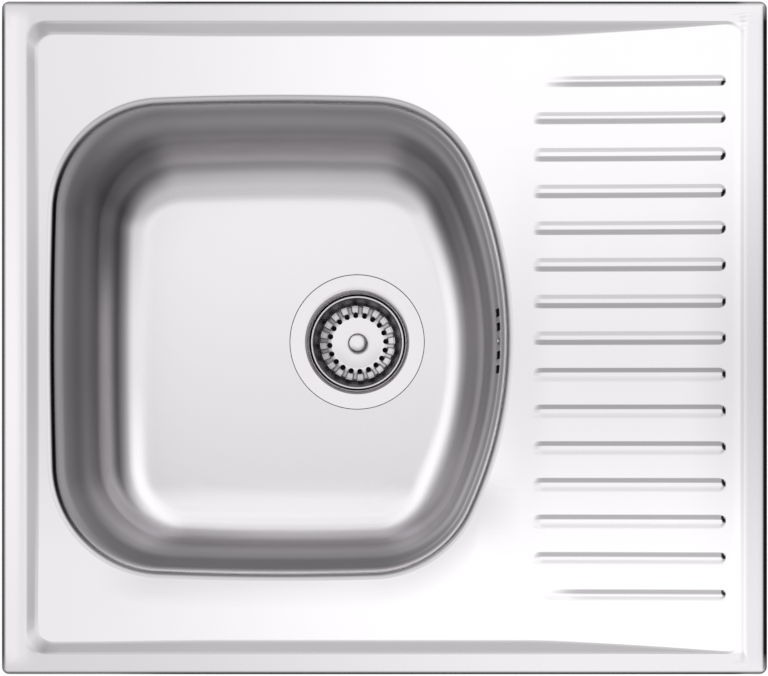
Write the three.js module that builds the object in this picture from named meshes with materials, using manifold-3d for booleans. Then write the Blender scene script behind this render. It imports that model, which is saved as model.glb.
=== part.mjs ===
// Inset kitchen sink with one bowl, a ribbed drainboard, a basket strainer waste and an overflow.
// Millimetres. +X to the drainboard, +Y to the back, +Z up. Z = 0 is the top of the worktop.
// The origin is the middle of the front run of the rim seal, where it rests on the worktop.
import * as THREE from "three";
import { mergeVertices } from "three/addons/utils/BufferGeometryUtils.js";
import Module from "manifold-3d";

const wasm = await Module();
wasm.setup();

// ---- Driving dimensions ----

const SINK_WIDTH = 580;
const SINK_DEPTH = 510;
const SHEET = 0.8;
const GAP = 0.3;

// Rim, in heights above the worktop and distances in from the outer edge.
const RIM_TOP = 4.6;
const RIM_CORNER = 6;
const LIP_FOOT = 0.4;
const RIM_LEFT = 18.5;
const RIM_OTHER = 16.5;
const SLOPE_CORNER = 16;
const SLOPE_FOOT_CORNER = 13;
const SLOPE_RUN = 9.6;
const SLOPE_LEAST = 0.08;

// Deck, which is level round the bowl and rises to the rim under the ribs.
const DECK_LOW = -0.4;
const RAMP_START = 118;
const RAMP_RISE = 0.0318;

// Bowl opening: a wide bow on the right, near straight sides elsewhere, one corner radius.
const BOWL_LEFT = -252.9;
const BOWL_RIGHT = 93.9;
const BOWL_HALF_DEPTH = 180;
const BOWL_LEFT_BOW = 3200;
const BOWL_SIDE_BOW = 2300;
const BOWL_SIDE_CENTRE = -77;
const BOWL_RIGHT_BOW = 311;
const BOWL_CORNER = 83;
const BOWL_DEPTH = 155;
const EDGE_ROLL = 7;
const EDGE_LEAD = 5.4;
const FLOOR_FILLET = 40;
const WALL_TILT = THREE.MathUtils.degToRad(85);
const FLOOR_FALL = 2;

// Drain.
const DRAIN_X = -24.5;
const DRAIN_Y = 5.3;
const RECESS_TOP_RADIUS = 60.5;
const RECESS_RADIUS = 58.5;
const RECESS_DEPTH = 2.6;
const DRAIN_HOLE_RADIUS = 46;

// Ribs of the drainboard.
const RIB_COUNT = 15;
const RIB_PITCH = 27.8;
const RIB_LEFT = 112;
const RIB_RIGHT = 258;
const RIB_HEIGHT = 1.6;
const RIB_WIDTH = 10.6;

// Overflow: four slots and one screw hole in a row on the right wall.
const OVERFLOW_Z = -42;
const SLOT_PITCH = 11.1;
const SLOT_WIDTH = 6.5;
const SLOT_HEIGHT = 20;
const OVERFLOW_SCREW_RADIUS = 1.8;

// Rim seal.
const SEAL_INSET = 2.9;
const SEAL_WIDTH = 6;
const SEAL_HEIGHT = 3.5;

// Rails and clamps, for a worktop of this thickness. Insets are from the sink's outer edge.
const WORKTOP = 38;
const RAIL_LONG = 440;
const RAIL_SHORT = 370;
const RAIL_INSET = 14.5;
const RAIL_SHEET = 1;
const RAIL_TOP = 3.5;
const RAIL_FLANGE = 3.9;
const RAIL_FOOT = -15;
const HOOK_WIDTH = 4.4;
const HOOK_HEIGHT = 4.5;
const CLAMP_SPREAD_X = 170;
const CLAMP_SPREAD_Y = 140;
const BRACKET_SHEET = 1.5;
const BRACKET_INSET = 19.3;
const BRACKET_REACH = 32;
const BRACKET_WIDTH = 22;
const BRACKET_FOOT = -56;
const BRACKET_SHELF = -22;
const CLAMP_SCREW_RADIUS = 3;
const CLAMP_SCREW_INSET = 27;
const SCREW_SIDES = 8;
const CLAW_FOOT = -46;
const TOOTH = 1.8;

// Sound pads.
const BOWL_PAD = 2.2;
const BOARD_PAD = { x: 188, width: 124, depth: 290, thickness: 2 };

// Waste, in heights below the top of its flange.
const FLANGE_RADIUS = 57.5;
const FLANGE_TOP = DECK_LOW - BOWL_DEPTH - FLOOR_FALL;
const OUTLET_RADIUS = 23.9;
const OUTLET_BORE = 20.5;
const OUTLET_END = -98;
const SPIGOT_Z = -30;
const SPIGOT_RADIUS = 8.8;
const SPIGOT_BORE = 7;
const BASKET_HOLES = 20;
const BASKET_HOLE_RADIUS = 2.05;
const BASKET_HOLE_RING = 24.3;
const BASKET_HOLE_PHASE = 4;
const KNOB_RADIUS = 8.5;
const STEM_RADIUS = 2.8;
const WASTE_SIDES = 32;

// Overflow housing and hose.
const HOUSING_X = 93.3;
const HOUSING_DEPTH = 20;
const HOUSING_WIDTH = 66;
const HOUSING_HEIGHT = 36;
const HOUSING_WALL = 2;
const HOUSING_BOSS = 4.5;
const HOSE_X = 104;
const HOSE_BORE = 9.9;
const HOSE_CUFF = 11.6;
const HOSE_VALLEY = 11.2;
const HOSE_CREST = 13;
const HOSE_RIB_PITCH = 4.4;
const HOSE_CUFF_LENGTH = 26;
const HOSE_SIDES = 8;

// ---- Shape helpers ----

const v2 = (x, y) => new THREE.Vector2(x, y);
const v3 = (x, y, z) => new THREE.Vector3(x, y, z);

// Keeps only the corner positions of a mesh, each corner once.
function bare(geometry) {
  const copy = geometry.index ? geometry.toNonIndexed() : geometry.clone();
  const plain = new THREE.BufferGeometry().setAttribute("position", copy.getAttribute("position"));
  return mergeVertices(plain, 1e-4);
}

// A closed mesh as a solid, with its faces turned outwards if they point in.
function solid(geometry) {
  const plain = bare(geometry);
  const triVerts = new Uint32Array(plain.index.array);
  const vertProperties = plain.attributes.position.array;
  const make = () => new wasm.Manifold(new wasm.Mesh({ numProp: 3, vertProperties, triVerts }));
  const made = make();
  if (made.volume() > 0) return made;
  for (let i = 0; i < triVerts.length; i += 3) {
    [triVerts[i + 1], triVerts[i + 2]] = [triVerts[i + 2], triVerts[i + 1]];
  }
  return make();
}

function geometryOf(manifold) {
  const mesh = manifold.getMesh();
  const geometry = new THREE.BufferGeometry();
  geometry.setAttribute("position", new THREE.BufferAttribute(mesh.vertProperties, 3));
  geometry.setIndex(new THREE.BufferAttribute(mesh.triVerts, 1));
  return geometry;
}

const joined = (first, ...more) => more.reduce((all, next) => all.add(next), first);
const cut = (first, ...more) => more.reduce((all, next) => all.subtract(next), first);

function block(x0, x1, y0, y1, z0, z1) {
  const box = new THREE.BoxGeometry(x1 - x0, y1 - y0, z1 - z0);
  return solid(box.translate((x0 + x1) / 2, (y0 + y1) / 2, (z0 + z1) / 2));
}

// A body of revolution about Z from [radius, height] points.
function turned(points, sides) {
  const profile = points.map(([radius, height]) => v2(radius, height));
  profile.push(profile[0].clone());
  return solid(new THREE.LatheGeometry(profile, sides).rotateX(Math.PI / 2));
}

function rod(radius, z0, z1, sides = 24) {
  const cylinder = new THREE.CylinderGeometry(radius, radius, z1 - z0, sides);
  return solid(cylinder.rotateX(Math.PI / 2).translate(0, 0, (z0 + z1) / 2));
}

const pipe = (outer, inner, z0, z1, sides) =>
  turned([[inner, z0], [outer, z0], [outer, z1], [inner, z1]], sides);

const lyingAlongX = (body) => body.rotate([0, 90, 0]);

// A profile of [x, z] points drawn out along Y, half to each side of y = 0.
function drawn(points, length) {
  const shape = new THREE.Shape(points.map(([x, z]) => v2(x, z)));
  const bar = new THREE.ExtrudeGeometry(shape, { depth: length, bevelEnabled: false });
  return solid(bar.translate(0, 0, -length / 2).rotateX(Math.PI / 2));
}

// Joins rings of equal length into one skin. A hollow skin's last ring meets its first.
function loft(rings, hollow) {
  const count = rings[0].length;
  const corners = rings.flat().flatMap((p) => [p.x, p.y, p.z]);
  const faces = [];
  const rows = hollow ? rings.length : rings.length - 1;
  for (let i = 0; i < rows; i += 1) {
    const low = i * count;
    const high = ((i + 1) % rings.length) * count;
    for (let j = 0; j < count; j += 1) {
      const k = (j + 1) % count;
      faces.push(low + j, low + k, high + k, low + j, high + k, high + j);
    }
  }
  if (!hollow) {
    for (let j = 1; j < count - 1; j += 1) {
      const last = (rings.length - 1) * count;
      faces.push(0, j + 1, j, last, last + j, last + j + 1);
    }
  }
  const geometry = new THREE.BufferGeometry();
  geometry.setAttribute("position", new THREE.Float32BufferAttribute(corners, 3));
  geometry.setIndex(faces);
  return solid(geometry);
}

// ---- Outlines, in plan, from the middle of the sink ----

function arcPoints(x, y, radius, from, to, steps) {
  const points = [];
  for (let i = 0; i <= steps; i += 1) {
    const angle = from + ((to - from) * i) / steps;
    points.push(v2(x + radius * Math.cos(angle), y + radius * Math.sin(angle)));
  }
  return points;
}

const distinct = (points) =>
  points.filter((p, i) => p.distanceTo(points[(i + 1) % points.length]) > 1e-3);

function circle(radius, x = DRAIN_X, y = DRAIN_Y, steps = 180) {
  return arcPoints(x, y, radius, 0, 2 * Math.PI, steps).slice(1);
}

// A rectangle with round corners, drawn in from the sink's edge by a distance on each side.
function rimOutline(left, other, radius, steps = 6) {
  const quarter = Math.PI / 2;
  const x0 = -SINK_WIDTH / 2 + left + radius;
  const x1 = SINK_WIDTH / 2 - other - radius;
  const y1 = SINK_DEPTH / 2 - other - radius;
  return [
    ...arcPoints(x1, y1, radius, 0, quarter, steps),
    ...arcPoints(x0, y1, radius, quarter, 2 * quarter, steps),
    ...arcPoints(x0, -y1, radius, 2 * quarter, 3 * quarter, steps),
    ...arcPoints(x1, -y1, radius, 3 * quarter, 4 * quarter, steps),
  ];
}

// Centre of the corner arc that touches the back side's arc and an end's arc from inside.
function cornerCentre(endX, endRadius) {
  const side = v2(BOWL_SIDE_CENTRE, BOWL_HALF_DEPTH - BOWL_SIDE_BOW);
  const end = v2(endX, 0);
  const sideReach = BOWL_SIDE_BOW - BOWL_CORNER;
  const endReach = endRadius - BOWL_CORNER;
  const apart = side.distanceTo(end);
  const along = (sideReach ** 2 - endReach ** 2 + apart ** 2) / (2 * apart);
  const across = Math.sqrt(sideReach ** 2 - along ** 2);
  const unit = end.clone().sub(side).divideScalar(apart);
  const foot = side.clone().addScaledVector(unit, along);
  const offset = v2(-unit.y, unit.x).multiplyScalar(unit.x > 0 ? across : -across);
  return foot.add(offset);
}

// The bowl's outline, drawn in by a distance, as four long arcs and four corner arcs.
function bowlOutline(inset) {
  const leftX = BOWL_LEFT + BOWL_LEFT_BOW;
  const rightX = BOWL_RIGHT - BOWL_RIGHT_BOW;
  const topY = BOWL_HALF_DEPTH - BOWL_SIDE_BOW;
  const near = cornerCentre(rightX, BOWL_RIGHT_BOW);
  const far = cornerCentre(leftX, BOWL_LEFT_BOW);
  const heading = (x, y, p) => Math.atan2(p.y - y, p.x - x);
  const right = heading(rightX, 0, near);
  const backRight = heading(BOWL_SIDE_CENTRE, topY, near);
  const backLeft = heading(BOWL_SIDE_CENTRE, topY, far);
  const left = heading(leftX, 0, far);
  const back = [
    ...arcPoints(rightX, 0, BOWL_RIGHT_BOW - inset, 0, right, 12),
    ...arcPoints(near.x, near.y, BOWL_CORNER - inset, right, backRight, 16),
    ...arcPoints(BOWL_SIDE_CENTRE, topY, BOWL_SIDE_BOW - inset, backRight, backLeft, 10),
    ...arcPoints(far.x, far.y, BOWL_CORNER - inset, backLeft, left, 16),
    ...arcPoints(leftX, 0, BOWL_LEFT_BOW - inset, left, Math.PI, 6),
  ];
  const front = back.slice(1, -1).reverse().map((p) => v2(p.x, -p.y));
  return distinct([...back, ...front]);
}

// Every ring is read along the same rays from the drain, so that rings match point by point.
const RAY_COUNT = 48;

function rays() {
  const angles = [];
  for (let i = 0; i < RAY_COUNT; i += 1) angles.push((2 * Math.PI * (i + 0.5)) / RAY_COUNT);
  rimOutline(0, 0, RIM_CORNER, 2).forEach((p) => {
    angles.push((Math.atan2(p.y - DRAIN_Y, p.x - DRAIN_X) + 2 * Math.PI) % (2 * Math.PI));
  });
  return angles.sort((a, b) => a - b);
}

const RAYS = rays();

function meetingPoint(outline, angle) {
  const ahead = v2(Math.cos(angle), Math.sin(angle));
  for (let i = 0; i < outline.length; i += 1) {
    const p = outline[i];
    const q = outline[(i + 1) % outline.length];
    const edge = v2(q.x - p.x, q.y - p.y);
    const from = v2(p.x - DRAIN_X, p.y - DRAIN_Y);
    const slant = ahead.cross(edge);
    if (Math.abs(slant) < 1e-12) continue;
    const reach = from.cross(edge) / slant;
    const share = from.cross(ahead) / slant;
    if (reach > 0 && share >= -1e-9 && share <= 1 + 1e-9) {
      return v2(DRAIN_X + ahead.x * reach, DRAIN_Y + ahead.y * reach);
    }
  }
  throw new Error("an outline doesn't go round the drain");
}

const ring = (outline, heightAt) =>
  RAYS.map((angle) => {
    const p = meetingPoint(outline, angle);
    return v3(p.x, p.y, heightAt(p.x, p.y));
  });

const level = (height) => () => height;
const deckHeight = (x) => DECK_LOW + Math.max(0, x - RAMP_START) * RAMP_RISE;

// ---- The pressed sheet ----

// The lip's section from its foot to the flat top: inset, height, and the angle that it faces,
// where 0 is outwards and a quarter turn is up.
const LIP_SECTION = [
  [0, LIP_FOOT, 0],
  [0.4, RIM_TOP - 2.2, 0.2],
  [1, RIM_TOP - 0.6, Math.PI / 4],
  [2.6, RIM_TOP, Math.PI / 2],
];

function lipRings(below) {
  return LIP_SECTION.map(([inset, height, facing]) => {
    const from = inset + below * Math.cos(facing);
    const radius = Math.max(RIM_CORNER - from, 2);
    return ring(rimOutline(from, from, radius), level(height - below * Math.sin(facing)));
  });
}

// The slope from the flat rim down to the deck, shorter where the deck has risen.
function slopeRings(below) {
  const fall = RIM_TOP - DECK_LOW;
  const creaseShift = -below * Math.tan(Math.atan2(fall, SLOPE_RUN) / 2);
  const left = RIM_LEFT + creaseShift;
  const other = RIM_OTHER + creaseShift;
  const head = ring(rimOutline(left, other, SLOPE_CORNER), level(RIM_TOP - below));
  const reach = ring(rimOutline(left + SLOPE_RUN, other + SLOPE_RUN, SLOPE_FOOT_CORNER), level(0));
  const foot = head.map((p, i) => {
    const share = Math.max(SLOPE_LEAST, (RIM_TOP - deckHeight(p.x)) / fall);
    return p.clone().lerp(reach[i], share).setZ(RIM_TOP - fall * share - below);
  });
  return [head, foot];
}

// A ring round the bowl where the sheet leans by an angle: level is 0.
function bowlRing(inset, depth, lean, below) {
  return ring(
    bowlOutline(inset - below * Math.sin(lean)),
    level(DECK_LOW - depth - below * Math.cos(lean)),
  );
}

const wallTopInset = EDGE_ROLL * Math.sin(WALL_TILT) - EDGE_LEAD;
const wallTopDepth = EDGE_ROLL * (1 - Math.cos(WALL_TILT));
const wallFootDepth = BOWL_DEPTH - FLOOR_FILLET * (1 - Math.cos(WALL_TILT));
const wallFootInset = wallTopInset + (wallFootDepth - wallTopDepth) / Math.tan(WALL_TILT);
const floorInset = wallFootInset + FLOOR_FILLET * Math.sin(WALL_TILT);

function bowlRings(below) {
  const roll = (lean) =>
    bowlRing(EDGE_ROLL * Math.sin(lean) - EDGE_LEAD, EDGE_ROLL * (1 - Math.cos(lean)), lean, below);
  const fillet = (lean) =>
    bowlRing(
      floorInset - FLOOR_FILLET * Math.sin(lean),
      BOWL_DEPTH - FLOOR_FILLET * (1 - Math.cos(lean)),
      lean,
      below,
    );
  return [0, 0.5, 1, WALL_TILT].map(roll).concat([WALL_TILT, 1, 0.55, 0.25, 0].map(fillet));
}

function drainRings(below) {
  const recessTop = FLANGE_TOP - below;
  const narrow = below * 0.6;
  return [
    ring(circle(RECESS_TOP_RADIUS + narrow), level(recessTop)),
    ring(circle(RECESS_RADIUS + narrow), level(recessTop - RECESS_DEPTH)),
    ring(circle(DRAIN_HOLE_RADIUS), level(recessTop - RECESS_DEPTH)),
  ];
}

// A ring on the deck that keeps to the line where the ramp starts, on the rays that cross it.
function foldRing(foot, bowlEdge, below) {
  return foot.map((p, i) => {
    const q = bowlEdge[i];
    const crosses = p.x > RAMP_START + 1 && q.x < RAMP_START - 1;
    const share = crosses ? (p.x - RAMP_START) / (p.x - q.x) : 0.5;
    const at = p.clone().lerp(q, share);
    return at.setZ(deckHeight(at.x) - below);
  });
}

function sheetRings(below) {
  const slope = slopeRings(below);
  const bowl = bowlRings(below);
  const fold = foldRing(slope[1], bowl[0], below);
  return [...lipRings(below), ...slope, fold, ...bowl, ...drainRings(below)];
}

// A long bead with round ends whose top stands out of the deck; it follows the deck's rise.
function ribBead(y, below) {
  const radius = (RIB_WIDTH * RIB_WIDTH) / 8 / RIB_HEIGHT + RIB_HEIGHT / 2;
  const rise = Math.atan(RAMP_RISE);
  const length = RIB_RIGHT - RIB_LEFT - RIB_WIDTH;
  const bead = new THREE.CapsuleGeometry(radius - below, length, 2, 16).rotateZ(Math.PI / 2);
  const middle = (RIB_LEFT + RIB_RIGHT) / 2;
  const height = deckHeight(middle) + RIB_HEIGHT - radius;
  return solid(bead.rotateY(-rise).translate(middle, y, height));
}

function deckSlab() {
  const middle = (RIB_LEFT + RIB_RIGHT) / 2;
  const slab = new THREE.BoxGeometry(200, SINK_DEPTH, 6).translate(0, 0, 3 - SHEET / 2);
  return solid(slab.rotateY(-Math.atan(RAMP_RISE)).translate(middle, 0, deckHeight(middle)));
}

const RIB_ROWS = Array.from({ length: RIB_COUNT }, (_, i) => (i - (RIB_COUNT - 1) / 2) * RIB_PITCH);

// A slot with round corners through the right wall, drawn along X.
function overflowSlot(y) {
  const round = 2;
  const halfWidth = SLOT_WIDTH / 2 - round;
  const halfHeight = SLOT_HEIGHT / 2 - round;
  const shape = new THREE.Shape();
  shape.absarc(halfWidth, halfHeight, round, 0, Math.PI / 2);
  shape.absarc(-halfWidth, halfHeight, round, Math.PI / 2, Math.PI);
  shape.absarc(-halfWidth, -halfHeight, round, Math.PI, 1.5 * Math.PI);
  shape.absarc(halfWidth, -halfHeight, round, 1.5 * Math.PI, 2 * Math.PI);
  const bar = new THREE.ExtrudeGeometry(shape, { depth: 30, bevelEnabled: false, curveSegments: 2 });
  return solid(bar.rotateX(Math.PI / 2).rotateZ(Math.PI / 2).translate(70, y, OVERFLOW_Z));
}

function sinkPressing() {
  const sheet = loft([...sheetRings(0), ...sheetRings(SHEET).reverse()], true);
  const slab = deckSlab();
  const crests = RIB_ROWS.map((y) => ribBead(y, 0).intersect(slab));
  const hollows = RIB_ROWS.map((y) => ribBead(y, SHEET));
  const slots = [-2, -1, 1, 2].map((k) => overflowSlot(k * SLOT_PITCH));
  const screwHole = lyingAlongX(rod(OVERFLOW_SCREW_RADIUS + GAP, 70, 100, 12));
  const holes = [...slots, screwHole.translate(0, 0, OVERFLOW_Z)];
  return cut(joined(sheet, ...crests), ...hollows, ...holes);
}

// The space that the bowl takes up outside, with a gap, for pieces that fit against it.
const bowlSpace = (gap) => loft(bowlRings(SHEET + gap).slice(3), false);

// ---- Seal, rails and clamps ----

function rimSeal() {
  const outer = rimOutline(SEAL_INSET, SEAL_INSET, RIM_CORNER - 2, 4);
  const inner = rimOutline(SEAL_INSET + SEAL_WIDTH, SEAL_INSET + SEAL_WIDTH, 1, 4);
  const shape = new THREE.Shape(outer);
  shape.holes.push(new THREE.Path(inner));
  return solid(new THREE.ExtrudeGeometry(shape, { depth: SEAL_HEIGHT, bevelEnabled: false }));
}

// Each edge's own frame: x runs in from the sink's outer edge, y along the edge.
const EDGES = {
  left: { at: [-SINK_WIDTH / 2, 0], turn: 0, rail: RAIL_SHORT, spread: CLAMP_SPREAD_Y },
  right: { at: [SINK_WIDTH / 2, 0], turn: Math.PI, rail: RAIL_SHORT, spread: CLAMP_SPREAD_Y },
  front: { at: [0, -SINK_DEPTH / 2], turn: Math.PI / 2, rail: RAIL_LONG, spread: CLAMP_SPREAD_X },
  back: { at: [0, SINK_DEPTH / 2], turn: -Math.PI / 2, rail: RAIL_LONG, spread: CLAMP_SPREAD_X },
};

// A rail that hangs from a flange under the rim and ends in an upturned hook.
function clampRail(length) {
  const lip = RAIL_INSET - RAIL_FLANGE;
  const back = RAIL_INSET + RAIL_SHEET;
  const hook = RAIL_INSET + HOOK_WIDTH;
  const hookTop = RAIL_FOOT + HOOK_HEIGHT;
  const section = [
    [lip, RAIL_TOP], [lip, RAIL_TOP - RAIL_SHEET], [RAIL_INSET, RAIL_TOP - RAIL_SHEET],
    [RAIL_INSET, RAIL_FOOT], [hook, RAIL_FOOT], [hook, hookTop], [hook - RAIL_SHEET, hookTop],
    [hook - RAIL_SHEET, RAIL_FOOT + RAIL_SHEET], [back, RAIL_FOOT + RAIL_SHEET], [back, RAIL_TOP],
  ];
  return drawn(section, length);
}

const atScrew = (body) => body.translate(CLAMP_SCREW_INSET, 0, 0);

// A bracket that hangs in the rail's hook and carries the screw in a shelf and a foot.
function clampBracket() {
  const inHook = RAIL_INSET + RAIL_SHEET + 0.45;
  const plate = BRACKET_INSET + BRACKET_SHEET;
  const neckLow = RAIL_FOOT + HOOK_HEIGHT + 2;
  const section = [
    [inHook, -13.6], [inHook + BRACKET_SHEET, -13.6], [inHook + BRACKET_SHEET, neckLow],
    [BRACKET_INSET, neckLow], [BRACKET_INSET, BRACKET_FOOT], [BRACKET_REACH, BRACKET_FOOT],
    [BRACKET_REACH, BRACKET_FOOT + BRACKET_SHEET], [plate, BRACKET_FOOT + BRACKET_SHEET],
    [plate, BRACKET_SHELF], [BRACKET_REACH, BRACKET_SHELF],
    [BRACKET_REACH, BRACKET_SHELF + BRACKET_SHEET], [plate, BRACKET_SHELF + BRACKET_SHEET],
    [plate, neckLow + BRACKET_SHEET], [inHook, neckLow + BRACKET_SHEET],
  ];
  const armSlot = block(BRACKET_INSET - 1, plate + 1, -4.2, 4.2, -52.5, -31);
  const screwHole = atScrew(rod(CLAMP_SCREW_RADIUS + GAP, -60, -18, SCREW_SIDES));
  return cut(drawn(section, BRACKET_WIDTH), armSlot, screwHole);
}

// A toothed claw on a nut, which bears on the underside of the worktop.
function clampClaw() {
  const tip = -WORKTOP - GAP;
  const gum = tip - TOOTH;
  const jaw = drawn(
    [
      [3, CLAW_FOOT], [10, CLAW_FOOT], [10, gum], [8, tip],
      [6.8, gum], [5.4, tip], [4.2, gum], [3, tip],
    ],
    14,
  );
  const arm = block(4, 24, -3.8, 3.8, CLAW_FOOT, CLAW_FOOT + 3);
  const nut = atScrew(rod(6, CLAW_FOOT, CLAW_FOOT + 6, 6));
  const thread = atScrew(rod(CLAMP_SCREW_RADIUS + GAP, CLAW_FOOT - 4, -36, SCREW_SIDES));
  return cut(joined(arm, jaw, nut), thread);
}

function clampScrew() {
  const headTop = BRACKET_FOOT - GAP;
  const shank = rod(CLAMP_SCREW_RADIUS, headTop - 1, BRACKET_SHELF + 3.5, SCREW_SIDES);
  const head = rod(5.2, headTop - 4, headTop, 12);
  const driverSlot = block(-6, 6, -0.7, 0.7, headTop - 5, headTop - 2.5);
  return cut(joined(shank, head), driverSlot);
}

// ---- Sound pads and earthing tag ----

function bowlPad() {
  const outline = bowlOutline(floorInset + 8).filter((_, i) => i % 2 === 0);
  const pad = new THREE.ExtrudeGeometry(new THREE.Shape(outline), { depth: BOWL_PAD, bevelEnabled: false });
  const opening = rod(RECESS_TOP_RADIUS + 6, -5, 5, WASTE_SIDES).translate(DRAIN_X, DRAIN_Y, 0);
  return cut(solid(pad), opening).translate(0, 0, FLANGE_TOP - SHEET - GAP - BOWL_PAD);
}

function drainboardPad() {
  const { x, width, depth, thickness } = BOARD_PAD;
  const pad = new THREE.BoxGeometry(width, depth, thickness).translate(0, 0, -SHEET - GAP - thickness / 2);
  return solid(pad.rotateY(-Math.atan(RAMP_RISE)).translate(x, 0, deckHeight(x)));
}

// A lug under the back of the rim with a hole for the bonding lead's screw.
function earthingTag() {
  const strip = drawn([[-8, -1.5], [-8, -2.5], [7, -2.5], [7, -22], [8, -22], [8, -1.5]], 16);
  const hole = lyingAlongX(rod(2.4, -20, 20, 12)).translate(0, 0, -14);
  return cut(strip, hole).translate(0, 206, 0);
}

// ---- Waste: heights are below the flange's top, radii from the drain's axis ----

const wasteCupInside = [
  [FLANGE_RADIUS, 0], [45, 0], [42.6, -1.4], [41.4, -4.5], [41, -14], [35.6, -19.4], [34.8, -21.3],
  [32.6, -21.7], [32.2, -35], [27.8, -39.4], [27.8, -50], [4, -50],
];
const wasteCupOutside = [
  [4, -51.2], [29, -51.2], [29, -39.9], [33.4, -35.5], [33.8, -22.9], [35.9, -22.4],
  [36.7, -19.9], [42.2, -14.4], [42.6, -4.9], [43.6, -2.4], [45.4, -1.2],
  [FLANGE_RADIUS, -1.2],
];

function wasteCup() {
  const cup = turned([...wasteCupInside, ...wasteCupOutside], WASTE_SIDES);
  const windows = [0, 60, 120, 180, 240, 300].map((turn) =>
    rod(6.5, -55, -45, 8).translate(17, 0, 0).rotate([0, 0, turn]),
  );
  return cut(cup, ...windows);
}

const flangeGasket = () => pipe(FLANGE_RADIUS - 1, 47, -2.3, -1.5, WASTE_SIDES);
const bodyGasket = () => pipe(54, 46.5, -6.2, -3.7, WASTE_SIDES);

// The body's funnel and outlet, with three spokes that carry the bolt and a side spigot.
function wasteBody() {
  const section = [
    [54, -6.5], [44.5, -6.5], [44.5, -52], [OUTLET_BORE, -66], [OUTLET_BORE, OUTLET_END],
    [OUTLET_RADIUS, OUTLET_END], [OUTLET_RADIUS, -69], [47, -53.5], [47, -9.5], [54, -9.5],
  ];
  const funnel = [[0, -50], [45.5, -50], [45.5, -52], [21.5, -66], [21.5, -70], [0, -70]];
  const shell = turned(section, WASTE_SIDES);
  const inside = turned(funnel, WASTE_SIDES);
  const spokes = [30, 150, 270].map((turn) =>
    block(0, 50, -1.5, 1.5, -64, -55).rotate([0, 0, turn]).intersect(inside),
  );
  const boss = rod(7, -68, -54, 16);
  const atSpigot = (body) => lyingAlongX(body).translate(0, 0, SPIGOT_Z);
  const spigot = atSpigot(rod(SPIGOT_RADIUS, 45.5, 74, 20));
  const bores = [atSpigot(rod(SPIGOT_BORE, 40, 80, 20)), rod(CLAMP_SCREW_RADIUS + GAP, -80, -45, 12)];
  return cut(joined(shell, ...spokes, boss, spigot), ...bores);
}

// The bolt that pulls the body up against the cup; its socket guides the plug's stem.
function clampingBolt() {
  const shank = rod(CLAMP_SCREW_RADIUS, -72, -49, 12);
  const head = rod(6.5, -49.7, -42.7, 12);
  const socket = rod(STEM_RADIUS + 0.8, -48.5, -40, 12);
  return cut(joined(shank, head), socket);
}

// Strainer basket: rolled rim, tapering wall, sloping foot, a ring of holes and a raised centre.
function strainerBasket() {
  const inner = [
    [38.4, -7.2], [37.9, -8.6], [33.2, -19.6], [27.6, -24], [21.4, -25.4], [19.6, -24.7], [3.4, -24.7],
  ];
  const outer = [
    [3.4, -25.5], [19.2, -25.5], [21.3, -26.2], [27.9, -24.9], [33.8, -20.2], [38.6, -9], [39.4, -8.4],
    [39.4, -7.2],
  ];
  const shell = turned([...inner, ...outer], 2 * BASKET_HOLES);
  const holes = Array.from({ length: BASKET_HOLES }, (_, k) => {
    const turn = BASKET_HOLE_PHASE + (k * 360) / BASKET_HOLES;
    return rod(BASKET_HOLE_RADIUS, -30, -20, 6).translate(BASKET_HOLE_RING, 0, 0).rotate([0, 0, turn]);
  });
  return cut(shell, ...holes);
}

function plugKnob() {
  const socket = STEM_RADIUS + GAP;
  const section = [
    [socket, -24.4], [4.6, -24.4], [5, -18.5], [7.6, -17.2], [KNOB_RADIUS, -15.6], [7.8, -13.4],
    [5, -12.4], [0, -12], [0, -18.2], [socket, -18.2],
  ];
  return turned(section, 24);
}

const plugStem = () => rod(STEM_RADIUS, -46.5, -18.5, 12);
const rubberPlug = () => pipe(29.4, STEM_RADIUS + GAP, -37.5, -34.9, WASTE_SIDES);
const plugRetainer = () => pipe(6, STEM_RADIUS + GAP, -39.6, -37.8, 16);

// ---- Overflow behind the right wall ----

const HOUSING_LOW = OVERFLOW_Z - HOUSING_HEIGHT / 2;
const HOUSING_HIGH = OVERFLOW_Z + HOUSING_HEIGHT / 2;
const HOUSING_END = HOUSING_X + HOUSING_DEPTH;

function overflowGasket() {
  const half = HOUSING_WIDTH / 2;
  const frame = block(84, HOUSING_X - GAP, -half, half, HOUSING_LOW, HOUSING_HIGH);
  const window = block(80, 100, 4 - half, half - 4, HOUSING_LOW + 4, HOUSING_HIGH - 4);
  return cut(frame, window, bowlSpace(GAP));
}

const atOverflow = (body) => lyingAlongX(body).translate(0, 0, OVERFLOW_Z);

// A box that is open to the bowl's wall, with a boss for its screw and a spigot for the hose.
function overflowHousing() {
  const half = HOUSING_WIDTH / 2;
  const inner = half - HOUSING_WALL;
  const shell = block(HOUSING_X, HOUSING_END, -half, half, HOUSING_LOW, HOUSING_HIGH);
  const chamber = block(
    HOUSING_X - 1, HOUSING_END - HOUSING_WALL, -inner, inner,
    HOUSING_LOW + HOUSING_WALL, HOUSING_HIGH - HOUSING_WALL,
  );
  const boss = atOverflow(rod(HOUSING_BOSS, HOUSING_X + 1, HOUSING_END - 1, 16));
  const screwHole = atOverflow(rod(OVERFLOW_SCREW_RADIUS + GAP, HOUSING_X - 2, HOUSING_END - 1, 12));
  const atHose = (body) => body.translate(HOSE_X, 0, HOUSING_LOW);
  const spigot = atHose(rod(SPIGOT_RADIUS, -20, 1, 20));
  const bore = atHose(rod(SPIGOT_BORE, -30, 5, 20));
  return cut(joined(cut(shell, chamber), boss, spigot), bore, screwHole);
}

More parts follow.
